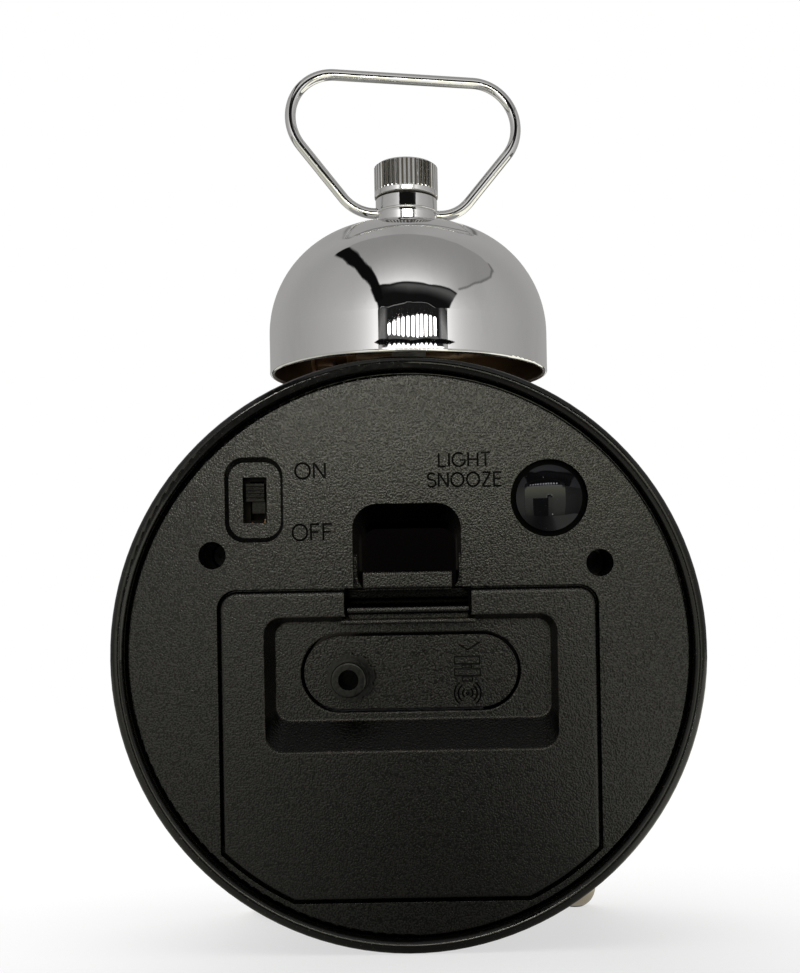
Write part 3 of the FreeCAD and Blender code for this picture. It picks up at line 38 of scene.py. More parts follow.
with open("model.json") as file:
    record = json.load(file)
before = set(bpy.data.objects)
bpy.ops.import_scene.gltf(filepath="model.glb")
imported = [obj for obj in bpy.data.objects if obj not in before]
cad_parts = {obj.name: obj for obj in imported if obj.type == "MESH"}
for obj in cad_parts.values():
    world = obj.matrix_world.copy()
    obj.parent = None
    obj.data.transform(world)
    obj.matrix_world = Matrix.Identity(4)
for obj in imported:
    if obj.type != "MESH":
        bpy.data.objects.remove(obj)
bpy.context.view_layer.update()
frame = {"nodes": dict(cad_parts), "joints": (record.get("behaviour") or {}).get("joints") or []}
SCENE = bpy.context.scene

# The case frame, read from the minute hand's axis, which is the case's own axis

MINUTE = next(j for j in frame["joints"] if j["name"] == "minute_turn")
BACKWARD = Vector(MINUTE["axis"])
UPWARD = Vector((1, 0, 0)).cross(BACKWARD)
CASE_TURN = Matrix((Vector((1, 0, 0)), BACKWARD, UPWARD)).transposed()
MINUTE_Y = -19.0
CASE_CENTRE = Vector(MINUTE["pos_m"]) - BACKWARD * MINUTE_Y / 1000
CASE = Matrix.Translation(CASE_CENTRE) @ CASE_TURN.to_4x4() @ Matrix.Scale(0.001, 4)

# Drawing planes: across to the right, up, and out towards the viewer
SEEN_FROM_BACK = Matrix(((-1, 0, 0, 0), (0, 0, 1, 0), (0, 1, 0, 0), (0, 0, 0, 1)))
SEEN_FROM_FRONT = Matrix(((1, 0, 0, 0), (0, 0, -1, 0), (0, 1, 0, 0), (0, 0, 0, 1)))

COVER_Y = 26.0
ISLAND_Y = 22.0
NOTCH_FLOOR_Y = 20.4
BUTTON_RIM_Y = 25.4
DIAL_FACE_Y = -14.0
BELL_AXIS = (0, 1.0, 0)
BELL_MIDDLE_Z = 64.0
BELL_CEILING_Z = 58.0
BELL_INNER_R = 25.4
BELL_LIP_R = 25.6
COLLAR_SEAM_Z = 80.6
NUT_BAND_Z = 85.4
NUT_GROOVE_R = (5.78, 5.94)

# Boxes painted dull black as shade: below the door's finger pad, and the hole of the alarm knob
LATCH_SHADE_BOX = ((-10.9, 10, 7.9), (10.9, 25.9, 10.85))
KNOB_HOLE_SHADE_BOX = ((8.3, 10, -5.8), (11.9, 26.6, -2.2))


def rgb(red, green, blue):
    """Linear colour of a swatch written as it looks on a screen, 0 to 255."""
    def linear(v):
        v /= 255
        return v / 12.92 if v < 0.04 else ((v + 0.055) / 1.055) ** 2.4
    return linear(red), linear(green), linear(blue), 1.0


# Finishes

class Channel:
    """A value in a finish, such as a height or a mask; sums on it add Math nodes."""

    def __init__(self, graph, socket):
        self.graph = graph
        self.socket = socket

    def math(self, operation, *others):
        return self.graph.add("ShaderNodeMath", {"operation": operation}, dict(enumerate((self, *others))))

    def __add__(self, other):
        return self.math("ADD", other)

    def __sub__(self, other):
        return self.math("SUBTRACT", other)

    def __rsub__(self, other):
        return self.math("MULTIPLY_ADD", -1.0, other)

    def __mul__(self, other):
        return self.math("MULTIPLY", other)

    __radd__ = __add__
    __rmul__ = __mul__

    def rise(self, low, high):
        """0 below low, 1 above high and smooth between them."""
        return self.graph.add("ShaderNodeMapRange", {"interpolation_type": "SMOOTHSTEP"},
                              {0: self, 1: low, 2: high})

    def peak(self, other):
        return self.math("MAXIMUM", other)


class Graph:
    """The nodes of one material or of the world."""

    def __init__(self, owner, output):
        owner.use_nodes = True
        self.owner = owner
        self.tree = owner.node_tree
        self.tree.nodes.clear()
        self.surface = self.tree.nodes.new(output).inputs["Surface"]

    def feed(self, socket, value):
        if isinstance(value, Channel):
            self.tree.links.new(value.socket, socket)
        else:
            socket.default_value = value

    def add(self, kind, settings=None, inputs=None, out=0):
        """A node of a kind: its settings, then the values or links of its sockets."""
        node = self.tree.nodes.new(kind)
        for name, value in (settings or {}).items():
            setattr(node, name, value)
        for name, value in (inputs or {}).items():
            self.feed(node.inputs[name], value)
        return Channel(self, node.outputs[out])

    def place(self):
        """Where a point is on the object, in metres; it rides with the piece."""
        return self.add("ShaderNodeTexCoord", out="Object")

    def along(self, axis):
        return self.add("ShaderNodeSeparateXYZ", {}, {0: self.place()}, out=axis)

    def vector(self, operation, a, b=(0, 0, 0), out=0):
        return self.add("ShaderNodeVectorMath", {"operation": operation}, {0: a, 1: b}, out)

    def stretched(self, x, y, z):
        return self.vector("MULTIPLY", self.place(), (x, y, z))

    def off(self, spot):
        """The way to a point from a spot of the case frame."""
        return self.vector("SUBTRACT", self.place(), tuple(CASE @ Vector(spot)))

    def reach(self, spot, way):
        """Millimetres from a spot of the case frame, along a way."""
        return self.vector("DOT_PRODUCT", self.off(spot), tuple(way * 1000), "Value")

    def radius(self, spot, way):
        """Millimetres from the axis that runs through a spot of the case frame."""
        across = self.vector("CROSS_PRODUCT", self.off(spot), tuple(way * 1000))
        return self.vector("LENGTH", across, out="Value")

    def inside(self, low, high, soft=0.1):
        """Mask of a box of the case frame between two corners."""
        mask = 1.0
        for way, a, b in zip((Vector((1, 0, 0)), BACKWARD, UPWARD), low, high):
            reach = self.reach((0, 0, 0), way)
            mask = reach.rise(a - soft, a + soft) * (1 - reach.rise(b - soft, b + soft)) * mask
        return mask

    def facing(self, way):
        """Cosine between the surface's own normal and a way."""
        normal = self.add("ShaderNodeNewGeometry", out="Normal")
        return self.vector("DOT_PRODUCT", normal, tuple(way), "Value")

    def noise(self, size_mm, detail=2.0, roughness=0.5, place=None, distortion=0.0):
        """Cloudy noise whose lumps are about size_mm across."""
        return self.add("ShaderNodeTexNoise", {}, {
            "Vector": place or self.place(), "Scale": 1000 / size_mm,
            "Detail": detail, "Roughness": roughness, "Distortion": distortion})

    def blend(self, mask, under, over):
        return self.add("ShaderNodeMix", {"data_type": "RGBA"}, {0: mask, 6: under, 7: over}, out=2)

    def relief(self, height, depth_mm, edge_mm=0.0):
        """Surface relief; edge_mm rounds the sharp edges by a small radius."""
        sockets = {"Height": height, "Distance": depth_mm / 1000}
        if edge_mm:
            sockets["Normal"] = self.add("ShaderNodeBevel", {"samples": 4}, {"Radius": edge_mm / 1000})
        return self.add("ShaderNodeBump", {}, sockets)

    def worn_edges(self, radius_mm):
        """Mask of the edges that hands rub."""
        soft = self.add("ShaderNodeBevel", {"samples": 4}, {"Radius": radius_mm / 1000})
        flat = self.add("ShaderNodeNewGeometry", out="Normal")
        return (1 - self.vector("DOT_PRODUCT", soft, flat, "Value")).rise(0.01, 0.16)


class Finish(Graph):
    """A procedural material round one Principled shader."""

    def __init__(self, name):
        super().__init__(bpy.data.materials.new(name), "ShaderNodeOutputMaterial")

    def coat(self, sockets):
        self.feed(self.surface, self.add("ShaderNodeBsdfPrincipled", {}, sockets))
        return self.owner


def moulding(name, colour, dusty, roughness, grain_mm, depth_mm, edge_mm=0.25, sheen=0.5, wear=0.6,
             hollow_shade=0.0, wall_shade=0.0, polished_shade_y=None, shade=None):
    """Moulded plastic with a spark-eroded grain, some dust in it and rubbed edges.

    The weights for hollows and for walls set the painted shade: the hollows of the grain get a darker
    tint, and they and the walls that don't face the back get a share of Metallic over the dark colour,
    which dims their gloss. Below the floor depth, counted towards the back, the mould was polished and
    the floor is painted dark reddish black as shade. The shade box (two corners in the case frame) is
    painted dull black as shade.
    """
    finish = Finish(name)
    grain = finish.noise(grain_mm, 0.0)
    hollows = 1 - grain.rise(0.36, 0.6)
    cloud = finish.noise(14.0, 4.0, 0.6).rise(0.35, 0.75)
    speck = finish.noise(grain_mm * 1.6, 1.0).rise(0.56, 0.72)
    rubbed = finish.worn_edges(edge_mm * 1.3) * finish.noise(2.2, 3.0).rise(0.42, 0.62)
    tint = finish.blend(cloud * 0.5 + speck * 0.35, colour, dusty)
    # Painted shade: the hollows of the grain take a darker tint
    if hollow_shade:
        tint = finish.blend(hollows, tint, tuple(c * 0.35 for c in colour[:3]) + (1.0,))
    tint = finish.blend(rubbed * wear, tint, rgb(112, 98, 84))
    matt = roughness - hollows * 0.04 - rubbed * 0.1
    # Metallic over the dark colour dims the gloss, as painted shade in the hollows, on walls not facing the
    # back, in the shade box and on the deep floor
    painted_shade = hollows * hollow_shade
    if wall_shade:
        painted_shade = painted_shade.peak((1 - finish.facing(BACKWARD).rise(0.78, 0.95)) * wall_shade)
    if shade:
        # Painted shade: the shade box turns dull black
        boxed_shade = finish.inside(*shade)
        tint = finish.blend(boxed_shade, tint, rgb(2, 2, 2))
        painted_shade = painted_shade.peak(boxed_shade * 0.9)
    if polished_shade_y is not None:
        # Painted shade: the deep, polished floor turns dark reddish black
        floor = 1 - finish.reach((0, polished_shade_y, 0), BACKWARD).rise(-0.05, 0.05)
        tint = finish.blend(floor, tint, rgb(10, 3, 3))
        matt = matt + floor * (0.07 - matt)
        grain = grain * (1 - floor)
        painted_shade = painted_shade + floor * (0.7 - painted_shade)
    return finish.coat({
        "Base Color": tint,
        "Metallic": painted_shade,
        "Roughness": matt,
        "Specular IOR Level": sheen,
        "Normal": finish.relief(grain, depth_mm, edge_mm),
    })


def enamel(name):
    """Gloss black enamel over pressed steel: fine orange peel and a few specks of dust."""
    finish = Finish(name)
    peel = finish.noise(0.4, 2.0, 0.6)
    dust = finish.noise(0.3, 1.0).rise(0.68, 0.76)
    rubbed = finish.noise(12.0, 4.0, 0.6).rise(0.45, 0.8)
    return finish.coat({
        "Base Color": finish.blend(dust * 0.4 + rubbed * 0.03, rgb(10, 10, 9), rgb(96, 86, 76)),
        "Roughness": 0.08 + rubbed * 0.04 + dust * 0.3,
        "Specular IOR Level": 0.45,
        "Normal": finish.relief(peel, 0.014),
    })


def chrome(name, colour, tarnish):
    """Bright plate: very faint waves of the polish, wiped smears and a few dust specks."""
    finish = Finish(name)
    waves = finish.noise(9.0, 2.0)
    smear = finish.noise(5.0, 4.0, 0.65, finish.stretched(1, 1, 0.35)).rise(0.45, 0.8)
    specks = finish.noise(0.4, 0.0).rise(0.73, 0.78)
    return finish.coat({
        "Base Color": finish.blend(smear * 0.25 + specks * 0.4, colour, tarnish),
        "Metallic": 1.0,
        "Roughness": 0.035 + smear * 0.05 + specks * 0.2,
        "Normal": finish.relief(waves, 0.012),
    })


def bell_chrome(name, colour, tarnish):
    """Chrome outside; inside, the bell is tinted brown and rougher, a painted brownish reflection."""
    finish = Finish(name)
    smear = finish.noise(5.0, 4.0, 0.65, finish.stretched(1, 1, 0.35)).rise(0.45, 0.8)
    # Painted reflection: the brownish tone that shows inside the bell
    brown_reflection = finish.blend(finish.noise(3.0, 3.0), rgb(122, 104, 84), rgb(158, 136, 108))
    radius = finish.radius(BELL_AXIS, UPWARD)
    height = finish.reach(BELL_AXIS, UPWARD)
    inside = 1 - radius.rise(BELL_INNER_R - 0.05, BELL_INNER_R + 0.05)
    inside = inside * (1 - height.rise(BELL_CEILING_Z - 0.5, BELL_CEILING_Z + 0.5))
    under = 1 - finish.facing(UPWARD).rise(-0.06, -0.03)
    inside = inside.peak(under * (1 - radius.rise(BELL_LIP_R - 0.1, BELL_LIP_R + 0.1)))
    return finish.coat({
        "Base Color": finish.blend(inside, finish.blend(smear * 0.2, colour, tarnish), brown_reflection),
        "Metallic": 1.0,
        "Roughness": 0.012 + smear * 0.02 + inside * 0.35,
        "Normal": finish.relief(finish.noise(9.0), 0.008),
    })


def knurled_chrome(name, colour, tarnish):
    """Chrome, darker and rougher in the grooves of the knurl as painted shade; below the knurl it tapers a
    little.
    """
    finish = Finish(name)
    # Painted shade in the knurl's grooves
    groove = 1 - finish.radius(BELL_AXIS, UPWARD).rise(*NUT_GROOVE_R)
    groove = groove * (1 - finish.facing(UPWARD).rise(0.2, 0.5))
    smear = finish.noise(1.6, 3.0, 0.6, finish.stretched(1, 1, 0.3)).rise(0.4, 0.7)
    taper = finish.reach((0, 0, NUT_BAND_Z), UPWARD).math("MINIMUM", 0.0) * 0.164
    return finish.coat({
        "Base Color": finish.blend(groove, finish.blend(smear * 0.4, colour, tarnish), rgb(120, 116, 106)),
        "Metallic": 1.0,
        "Roughness": 0.08 + smear * 0.08 + groove * 0.3,
        "Normal": finish.relief(finish.noise(1.2) * 0.01 + taper, 1.0, 0.08),
    })


def collar_chrome(name, colour, tarnish):
    """Chrome of the handle's collar, which tapers in a faint curve below its seam."""
    finish = Finish(name)
    smear = finish.noise(2.0, 4.0, 0.65).rise(0.45, 0.8)
    below = finish.reach((0, 0, COLLAR_SEAM_Z), UPWARD).math("MINIMUM", 0.0)
    taper = below * 0.142 + below * below * 0.00275
    return finish.coat({
        "Base Color": finish.blend(smear * 0.3, colour, tarnish),
        "Metallic": 1.0,
        "Roughness": 0.04 + smear * 0.06,
        "Normal": finish.relief(taper + finish.noise(1.4) * 0.01, 1.0),
    })


def metal(name, colour, dull, roughness, lay=(1, 1, 1), size_mm=0.8, depth_mm=0.01):
    """Plated or turned metal; lay stretches the tool marks."""
    finish = Finish(name)
    marks = finish.noise(size_mm, 3.0, 0.6, finish.stretched(*lay))
    stain = finish.noise(4.0, 4.0).rise(0.4, 0.75)
    return finish.coat({
        "Base Color": finish.blend(stain * 0.7, colour, dull),
        "Metallic": 1.0,
        "Roughness": roughness + marks * 0.15 + stain * 0.1,
        "Normal": finish.relief(marks, depth_mm, 0.08),
    })


def winding(name, pitch_mm=0.32):
    """Enamelled copper wire wound close about X; the valleys between the turns are painted darker, as shade.
    """
    finish = Finish(name)
    turns = (finish.along("X") * (2000 * math.pi / pitch_mm)).math("SINE")
    height = turns * 0.5 + 0.5
    return finish.coat({
        # Painted shade: the copper darkens into the valleys between turns
        "Base Color": finish.blend(height, rgb(94, 44, 20), rgb(190, 112, 66)),
        "Metallic": 0.85,
        "Roughness": 0.28 + finish.noise(1.0) * 0.15,
        "Normal": finish.relief(height, 0.09),
    })


def gloss_cap(name):
    """Polished black cap of the light and snooze button; its flange below the cover is painted dull
    near-black as shade.
    """
    finish = Finish(name)
    smear = finish.noise(3.0, 4.0, 0.6).rise(0.5, 0.8)
    specks = finish.noise(0.3, 0.0).rise(0.84, 0.87)
    # Painted shade: the flange below the cover's face turns near-black and dull
    shaded_flange = 1 - finish.reach((0, BUTTON_RIM_Y, 0), BACKWARD).rise(-0.1, 0.1)
    tint = finish.blend(specks * 0.3 + smear * 0.03, rgb(18, 18, 20), rgb(110, 108, 102))
    return finish.coat({
        "Base Color": finish.blend(shaded_flange, tint, rgb(3, 3, 3)),
        "Metallic": shaded_flange * 0.9,
        "Roughness": 0.02 + smear * 0.03 + specks * 0.2 + shaded_flange * 0.4,
        "Specular IOR Level": 0.27,
        "Specular Tint": (0.9, 0.93, 1.0, 1.0),
        "Normal": finish.relief(finish.noise(6.0), 0.003),
    })


def clear_lens(name):
    """Polished sheet glass: clear, with the sheen of its two faces."""
    finish = Finish(name)
    slant = finish.add("ShaderNodeLayerWeight", {}, {"Blend": 0.5}, out="Facing")
    sheen = slant.math("POWER", 5.0) * 0.96 + 0.034
    smear = finish.noise(12.0, 4.0).rise(0.5, 0.8)
    clear = finish.add("ShaderNodeBsdfTransparent", {}, {"Color": (0.97, 0.98, 0.98, 1)})
    gloss = finish.add("ShaderNodeBsdfPrincipled", {}, {
        "Base Color": (0.9, 0.92, 0.93, 1), "Roughness": 0.03 + smear * 0.05, "Metallic": 1.0})
    finish.feed(finish.surface, finish.add("ShaderNodeMixShader", {}, {
        0: sheen + smear * 0.015, 1: clear, 2: gloss}))
    return finish.owner


def painted(name, colour, worn, roughness, size_mm=0.25):
    """Sprayed or printed paint with a fine tooth."""
    finish = Finish(name)
    tooth = finish.noise(size_mm, 2.0)
    cloud = finish.noise(8.0, 3.0).rise(0.4, 0.8)
    return finish.coat({
        "Base Color": finish.blend(cloud * 0.4 + tooth * 0.15, colour, worn),
        "Roughness": roughness + tooth * 0.1,
        "Normal": finish.relief(tooth, 0.006, 0.05),
    })


def cell_jacket(name, plus_side):
    """Printed film round a battery cell: grey, a dark band at the plus end, bare steel ends."""
    finish = Finish(name)
    reach = finish.along("X") * plus_side
    band = reach.rise(0.0118, 0.012)
    ring = band * (1 - reach.rise(0.0125, 0.0127))
    ends = finish.along("X").math("ABSOLUTE").rise(0.02395, 0.0240)
    crease = finish.noise(2.5, 3.0, 0.6, finish.stretched(0.3, 1, 1))
    film = finish.blend(band, rgb(196, 198, 200), rgb(34, 44, 66))
    film = finish.blend(ring, film, rgb(226, 226, 222))
    return finish.coat({
        "Base Color": finish.blend(ends, film, rgb(206, 204, 198)),
        "Metallic": ends * 0.9,
        "Roughness": 0.26 + crease * 0.12,
        "Normal": finish.relief(crease, 0.03, 0.1),
    })


def circuit_board(name):
    """Green solder mask with lighter copper runs under it and tinned pads."""
    finish = Finish(name)
    runs = finish.add("ShaderNodeTexBrick", {"offset": 0.35}, {
        "Vector": finish.stretched(1, 0, 1), "Scale": 420.0, "Mortar Size": 0.05}, out="Fac")
    cells = finish.add("ShaderNodeTexVoronoi", {}, {"Vector": finish.place(), "Scale": 480.0}, out="Distance")
    pads = 1 - cells.rise(0.16, 0.2)
    mask = finish.blend(runs, rgb(12, 74, 44), rgb(30, 110, 66))
    return finish.coat({
        "Base Color": finish.blend(pads, mask, rgb(190, 192, 190)),
        "Metallic": pads * 0.9,
        "Roughness": 0.3 + finish.noise(1.5) * 0.15,
        "Normal": finish.relief(runs * 0.5 + pads, 0.02),
    })


def lamp_epoxy(name):
    """Clear epoxy of the dial's light, milky where it is thick."""
    finish = Finish(name)
    haze = finish.noise(1.2, 2.0)
    return finish.coat({
        "Base Color": finish.blend(haze, rgb(226, 232, 236), rgb(200, 206, 212)),
        "Roughness": 0.12 + haze * 0.1,
        "Coat Weight": 0.6,
        "Transmission Weight": 0.6,
        "IOR": 1.5,
        "Normal": finish.relief(haze, 0.01),
    })


CHROME_TONE = rgb(229, 229, 229)
CHROME_SMEAR = rgb(202, 202, 198)

FINISHES = {
    "case_black": enamel("case_black"),
    "bezel_black": enamel("bezel_black"),
    "lens": clear_lens("lens"),
    "white_plastic": moulding("white_plastic", rgb(234, 234, 230), rgb(222, 221, 214), 0.4, 0.6, 0.01),
    "dial_white": painted("dial_white", rgb(240, 240, 236), rgb(230, 229, 222), 0.5),
    "black_moulding": moulding("black_moulding", rgb(12, 12, 11), rgb(26, 24, 21), 0.28, 0.28, 0.07, 0.1,
                               wear=0.15, hollow_shade=0.4, wall_shade=0.7, polished_shade_y=NOTCH_FLOOR_Y),
    "door_moulding": moulding("door_moulding", rgb(11, 11, 10), rgb(22, 20, 17), 0.28, 0.28, 0.07, 0.5,
                              wear=0.35, hollow_shade=0.32, wall_shade=0.65, shade=LATCH_SHADE_BOX),
    "button_gloss": gloss_cap("button_gloss"),
    "knob_plastic": moulding("knob_plastic", rgb(9, 9, 9), rgb(26, 25, 22), 0.24, 0.5, 0.01, 0.12, 0.42,
                             wear=0.2, hollow_shade=0.1, wall_shade=0.5, shade=KNOB_HOLE_SHADE_BOX),
    "slider_plastic": moulding("slider_plastic", rgb(9, 9, 9), rgb(24, 22, 20), 0.26, 0.4, 0.02, 0.12, 0.16,
                               wear=0.2, hollow_shade=0.2, wall_shade=0.8),
    # Near-black, rough finish of the sunk letters and signs: painted shade in their grooves
    "groove_black": moulding("groove_black", rgb(3, 3, 3), rgb(6, 6, 5), 0.6, 0.3, 0.01, 0.0, 0.15),
    "chrome": chrome("chrome", CHROME_TONE, CHROME_SMEAR),
    "foot_chrome": chrome("foot_chrome", rgb(214, 203, 190), rgb(178, 158, 138)),
    "zinc_steel": metal("zinc_steel", rgb(188, 190, 192), rgb(150, 150, 146), 0.28),
    "dark_steel": metal("dark_steel", rgb(70, 72, 80), rgb(58, 50, 44), 0.32, (1, 1, 0.2)),
    "spring_steel": metal("spring_steel", rgb(198, 198, 198), rgb(160, 156, 148), 0.2, size_mm=0.3),
    "hammer_brass": metal("hammer_brass", rgb(196, 150, 112), rgb(120, 84, 62), 0.25, (0.15, 1, 1)),
    "nut_brass": metal("nut_brass", rgb(214, 182, 112), rgb(170, 136, 76), 0.25),
    "movement_plastic": moulding("movement_plastic", rgb(44, 44, 46), rgb(60, 60, 60), 0.45, 0.6, 0.03),
    "frame_plastic": moulding("frame_plastic", rgb(216, 216, 210), rgb(200, 198, 188), 0.45, 0.6, 0.02),
    "hand_paint": painted("hand_paint", rgb(20, 20, 20), rgb(44, 43, 41), 0.45),
    "alarm_paint": painted("alarm_paint", rgb(186, 38, 26), rgb(160, 30, 22), 0.45),
    "led_clear": lamp_epoxy("led_clear"),
    "board_green": circuit_board("board_green"),
    "switch_metal": metal("switch_metal", rgb(176, 176, 172), rgb(130, 126, 118), 0.3),
    "coil_copper": winding("coil_copper"),
    "ferrite": moulding("ferrite", rgb(58, 58, 60), rgb(80, 78, 74), 0.55, 0.4, 0.02),
}
NODE_FINISHES = {
    "cover_screws": metal("screw_black", rgb(34, 34, 36), rgb(20, 18, 16), 0.4),
    "switch_body": metal("switch_black", rgb(26, 25, 24), rgb(16, 15, 14), 0.45),
    "bell": bell_chrome("bell_chrome", CHROME_TONE, CHROME_SMEAR),
    "knurled_nut": knurled_chrome("knurled_chrome", CHROME_TONE, CHROME_SMEAR),
    "handle_collar": collar_chrome("collar_chrome", CHROME_TONE, CHROME_SMEAR),
    "battery_cell_upper": cell_jacket("cell_jacket_upper", -1),
    "battery_cell_lower": cell_jacket("cell_jacket_lower", 1),
}


def dress(node):
    """Gives a CAD node the finish of its slot, or its own."""
    for slot in node.material_slots:
        slot.material = NODE_FINISHES.get(node.name) or FINISHES[slot.material.name.split(".")[0]]


# Making pieces

def new_piece(name, mesh, finish, body):
    """A finished piece, already in its place, that rides on a body."""
    piece = bpy.data.objects.new(name, mesh)
    SCENE.collection.objects.link(piece)
    mesh.materials.clear()
    mesh.materials.append(finish)
    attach(piece, body)
    return piece


def mesh_from(shape, name):
    mesh = bpy.data.meshes.new(name)
    shape.to_mesh(mesh)
    shape.free()
    return mesh


def add_word(shape, word, across, up, width, height, out, depth, plane):
    """Solid letters: middle (across, up), size, and from out down to out - depth."""
    text = bpy.data.curves.new(word, "FONT")
    text.body = word
    text.extrude = 0.5
    text.resolution_u = 5
    letters = bpy.data.meshes.new_from_object(bpy.data.objects.new(word, text))
    joined = bmesh.new()
    joined.from_mesh(letters)
    bmesh.ops.remove_doubles(joined, verts=joined.verts, dist=1e-4)
    joined.to_mesh(letters)
    joined.free()
    points = np.array([v.co for v in letters.vertices])
    low, high = points.min(0), points.max(0)
    middle = (low + high) / 2
    size = high - low
    fit = Matrix.Diagonal((width / size[0], height / size[1], depth / size[2], 1))
    shift = Matrix.Translation((across, up, out - depth / 2))
    letters.transform(CASE @ plane @ shift @ fit @ Matrix.Translation(-Vector(middle)))
    shape.from_mesh(letters)


def add_line(shape, points, width, out, depth, plane, closed=False, vee=False):
    """Engraved line along points (across, up), square or V-shaped in section."""
    section = ((1, 0), (-1, 0), (0, -depth)) if vee else ((1, 0), (-1, 0), (-1, -depth), (1, -depth))
    points = [Vector(p) for p in points]
    count = len(points)
    rails = []
    for i, here in enumerate(points):
        before = points[i - 1] if closed or i > 0 else None
        after = points[(i + 1) % count] if closed or i < count - 1 else None
        ways = [w.normalized() for w in ((here - before) if before else None,
                                         (after - here) if after else None) if w]
        way = sum(ways, Vector((0, 0))).normalized()
        side = Vector((-way.y, way.x))
        mitre = width / 2 / max(side.dot(Vector((-ways[0].y, ways[0].x))), 0.3)
        rails.append([(here + side * (s * mitre), out + d) for s, d in section])
    matrix = CASE @ plane
    rings = [[shape.verts.new(matrix @ Vector((p.x, p.y, d))) for p, d in rail] for rail in rails]
    for i in range(count if closed else count - 1):
        a, b = rings[i], rings[(i + 1) % count]
        for k, _ in enumerate(section):
            n = (k + 1) % len(section)
            shape.faces.new((a[k], a[n], b[n], b[k]))
    if not closed:
        shape.faces.new(rings[0][::-1])
        shape.faces.new(rings[-1])


# Back cover with its debossed words and signs

STROKE = 0.32
STROKE_DEPTH = 0.25
SIGN_LINE = 0.32
SIGN_DEPTH = 0.24
OVERSHOOT = 0.15
LETTER_GAP = 0.24
WORDS = (
    ("ON", -16.0, 31.1, 5.0, 2.6),
    ("OFF", -15.8, 20.8, 6.6, 2.7),
    ("LIGHT", 9.9, 32.55, 8.6, 2.25),
    ("SNOOZE", 9.85, 29.2, 12.4, 2.3),
)


def oval(x, y, rx, ry, start, end, steps=20):
    """Points of an oval; angles in degrees from straight right."""
    turns = [math.radians(start + (end - start) * k / steps) for k in range(steps + 1)]
    return [(x + rx * math.cos(a), y + ry * math.sin(a)) for a in turns]


# Letters as pen strokes in a box one unit high: the width, then the strokes
LETTERS = {
    "E": (0.57, [[(0.56, 1), (0, 1), (0, 0), (0.57, 0)], [(0, 0.53), (0.5, 0.53)]]),
    "F": (0.55, [[(0, 0), (0, 1), (0.55, 1)], [(0, 0.52), (0.48, 0.52)]]),
    "G": (0.9, [oval(0.46, 0.5, 0.46, 0.5, 48, 350) + [(0.9, 0.46), (0.54, 0.46)]]),
    "H": (0.68, [[(0, 0), (0, 1)], [(0.68, 0), (0.68, 1)], [(0, 0.52), (0.68, 0.52)]]),
    "I": (0.0, [[(0, 0), (0, 1)]]),
    "L": (0.5, [[(0, 1), (0, 0), (0.5, 0)]]),
    "N": (0.7, [[(0, 0), (0, 1)], [(0, 1), (0.7, 0)], [(0.7, 0), (0.7, 1)]]),
    "O": (0.95, [oval(0.475, 0.5, 0.475, 0.5, 0, 342, 19)]),
    "S": (0.62, [oval(0.31, 0.75, 0.28, 0.25, 25, 262, 12) + oval(0.31, 0.26, 0.31, 0.26, 80, -155, 12)]),
    "T": (0.66, [[(0, 1), (0.66, 1)], [(0.33, 1), (0.33, 0)]]),
    "Z": (0.64, [[(0.02, 1), (0.62, 1)], [(0.62, 1), (0, 0)], [(0, 0), (0.64, 0)]]),
}

# Signs on the setting pedestal, from its right end: a hand's tip, battery boxes and radio waves
ARROW = ((8.44, 1.29), (9.94, 0.33), (12.09, 1.67))
SIGN_BOXES = (
    ((7.65, -0.81), (11.9, -2.07)),
    ((8.95, -2.2), (10.5, -2.8)),
    ((7.61, -2.93), (11.99, -4.1)),
    ((8.91, -4.25), (10.67, -4.96)),
)
WAVES_AT = (9.81, -7.06)
WAVE_RADII = (0.86, 1.63, 2.27)


def engrave(shape, points, width, depth, surface, closed=False):
    """V-shaped groove, width across at the surface."""
    full = width * (depth + OVERSHOOT) / depth
    add_line(shape, points, full, surface + OVERSHOOT, depth + OVERSHOOT, SEEN_FROM_BACK, closed, True)


def engrave_word(shape, word, across, up, width, height):
    total = sum(LETTERS[c][0] for c in word) + LETTER_GAP * (len(word) - 1)
    start = across - width / 2
    for letter in word:
        wide, strokes = LETTERS[letter]
        for stroke in strokes:
            spots = [(start + x * width / total, up + (y - 0.5) * height) for x, y in stroke]
            engrave(shape, spots, STROKE, STROKE_DEPTH, COVER_Y, letter == "O")
        start += (wide + LETTER_GAP) * width / total


def cover_marks():
    """Letters and signs as solids that stand in the cover's surface."""
    shape = bmesh.new()
    for row in WORDS:
        engrave_word(shape, *row)
    engrave(shape, ARROW[:2], SIGN_LINE, SIGN_DEPTH, ISLAND_Y)
    engrave(shape, ARROW[1:], SIGN_LINE, SIGN_DEPTH, ISLAND_Y)
    for (x0, z0), (x1, z1) in SIGN_BOXES:
        for z in (z0, z1):
            engrave(shape, ((x0 - 0.1, z), (x1 + 0.1, z)), SIGN_LINE, SIGN_DEPTH, ISLAND_Y)
        for x in (x0, x1):
            engrave(shape, ((x, z0), (x, z1)), SIGN_LINE * 0.7, SIGN_DEPTH, ISLAND_Y)
    x, z = WAVES_AT
    for radius in WAVE_RADII:
        for start in (-55, 125):
            engrave(shape, oval(x, z, radius, radius, start, start + 110, 8), SIGN_LINE, SIGN_DEPTH, ISLAND_Y)
    engrave(shape, oval(x, z, 0.22, 0.22, 0, 315, 7), 0.24, SIGN_DEPTH, ISLAND_Y, True)
    bmesh.ops.recalc_face_normals(shape, faces=shape.faces)
    # The grooves' faces take the near-black groove finish, painted shade
    for face in shape.faces:
        face.material_index = 1
    return mesh_from(shape, "cover_marks")


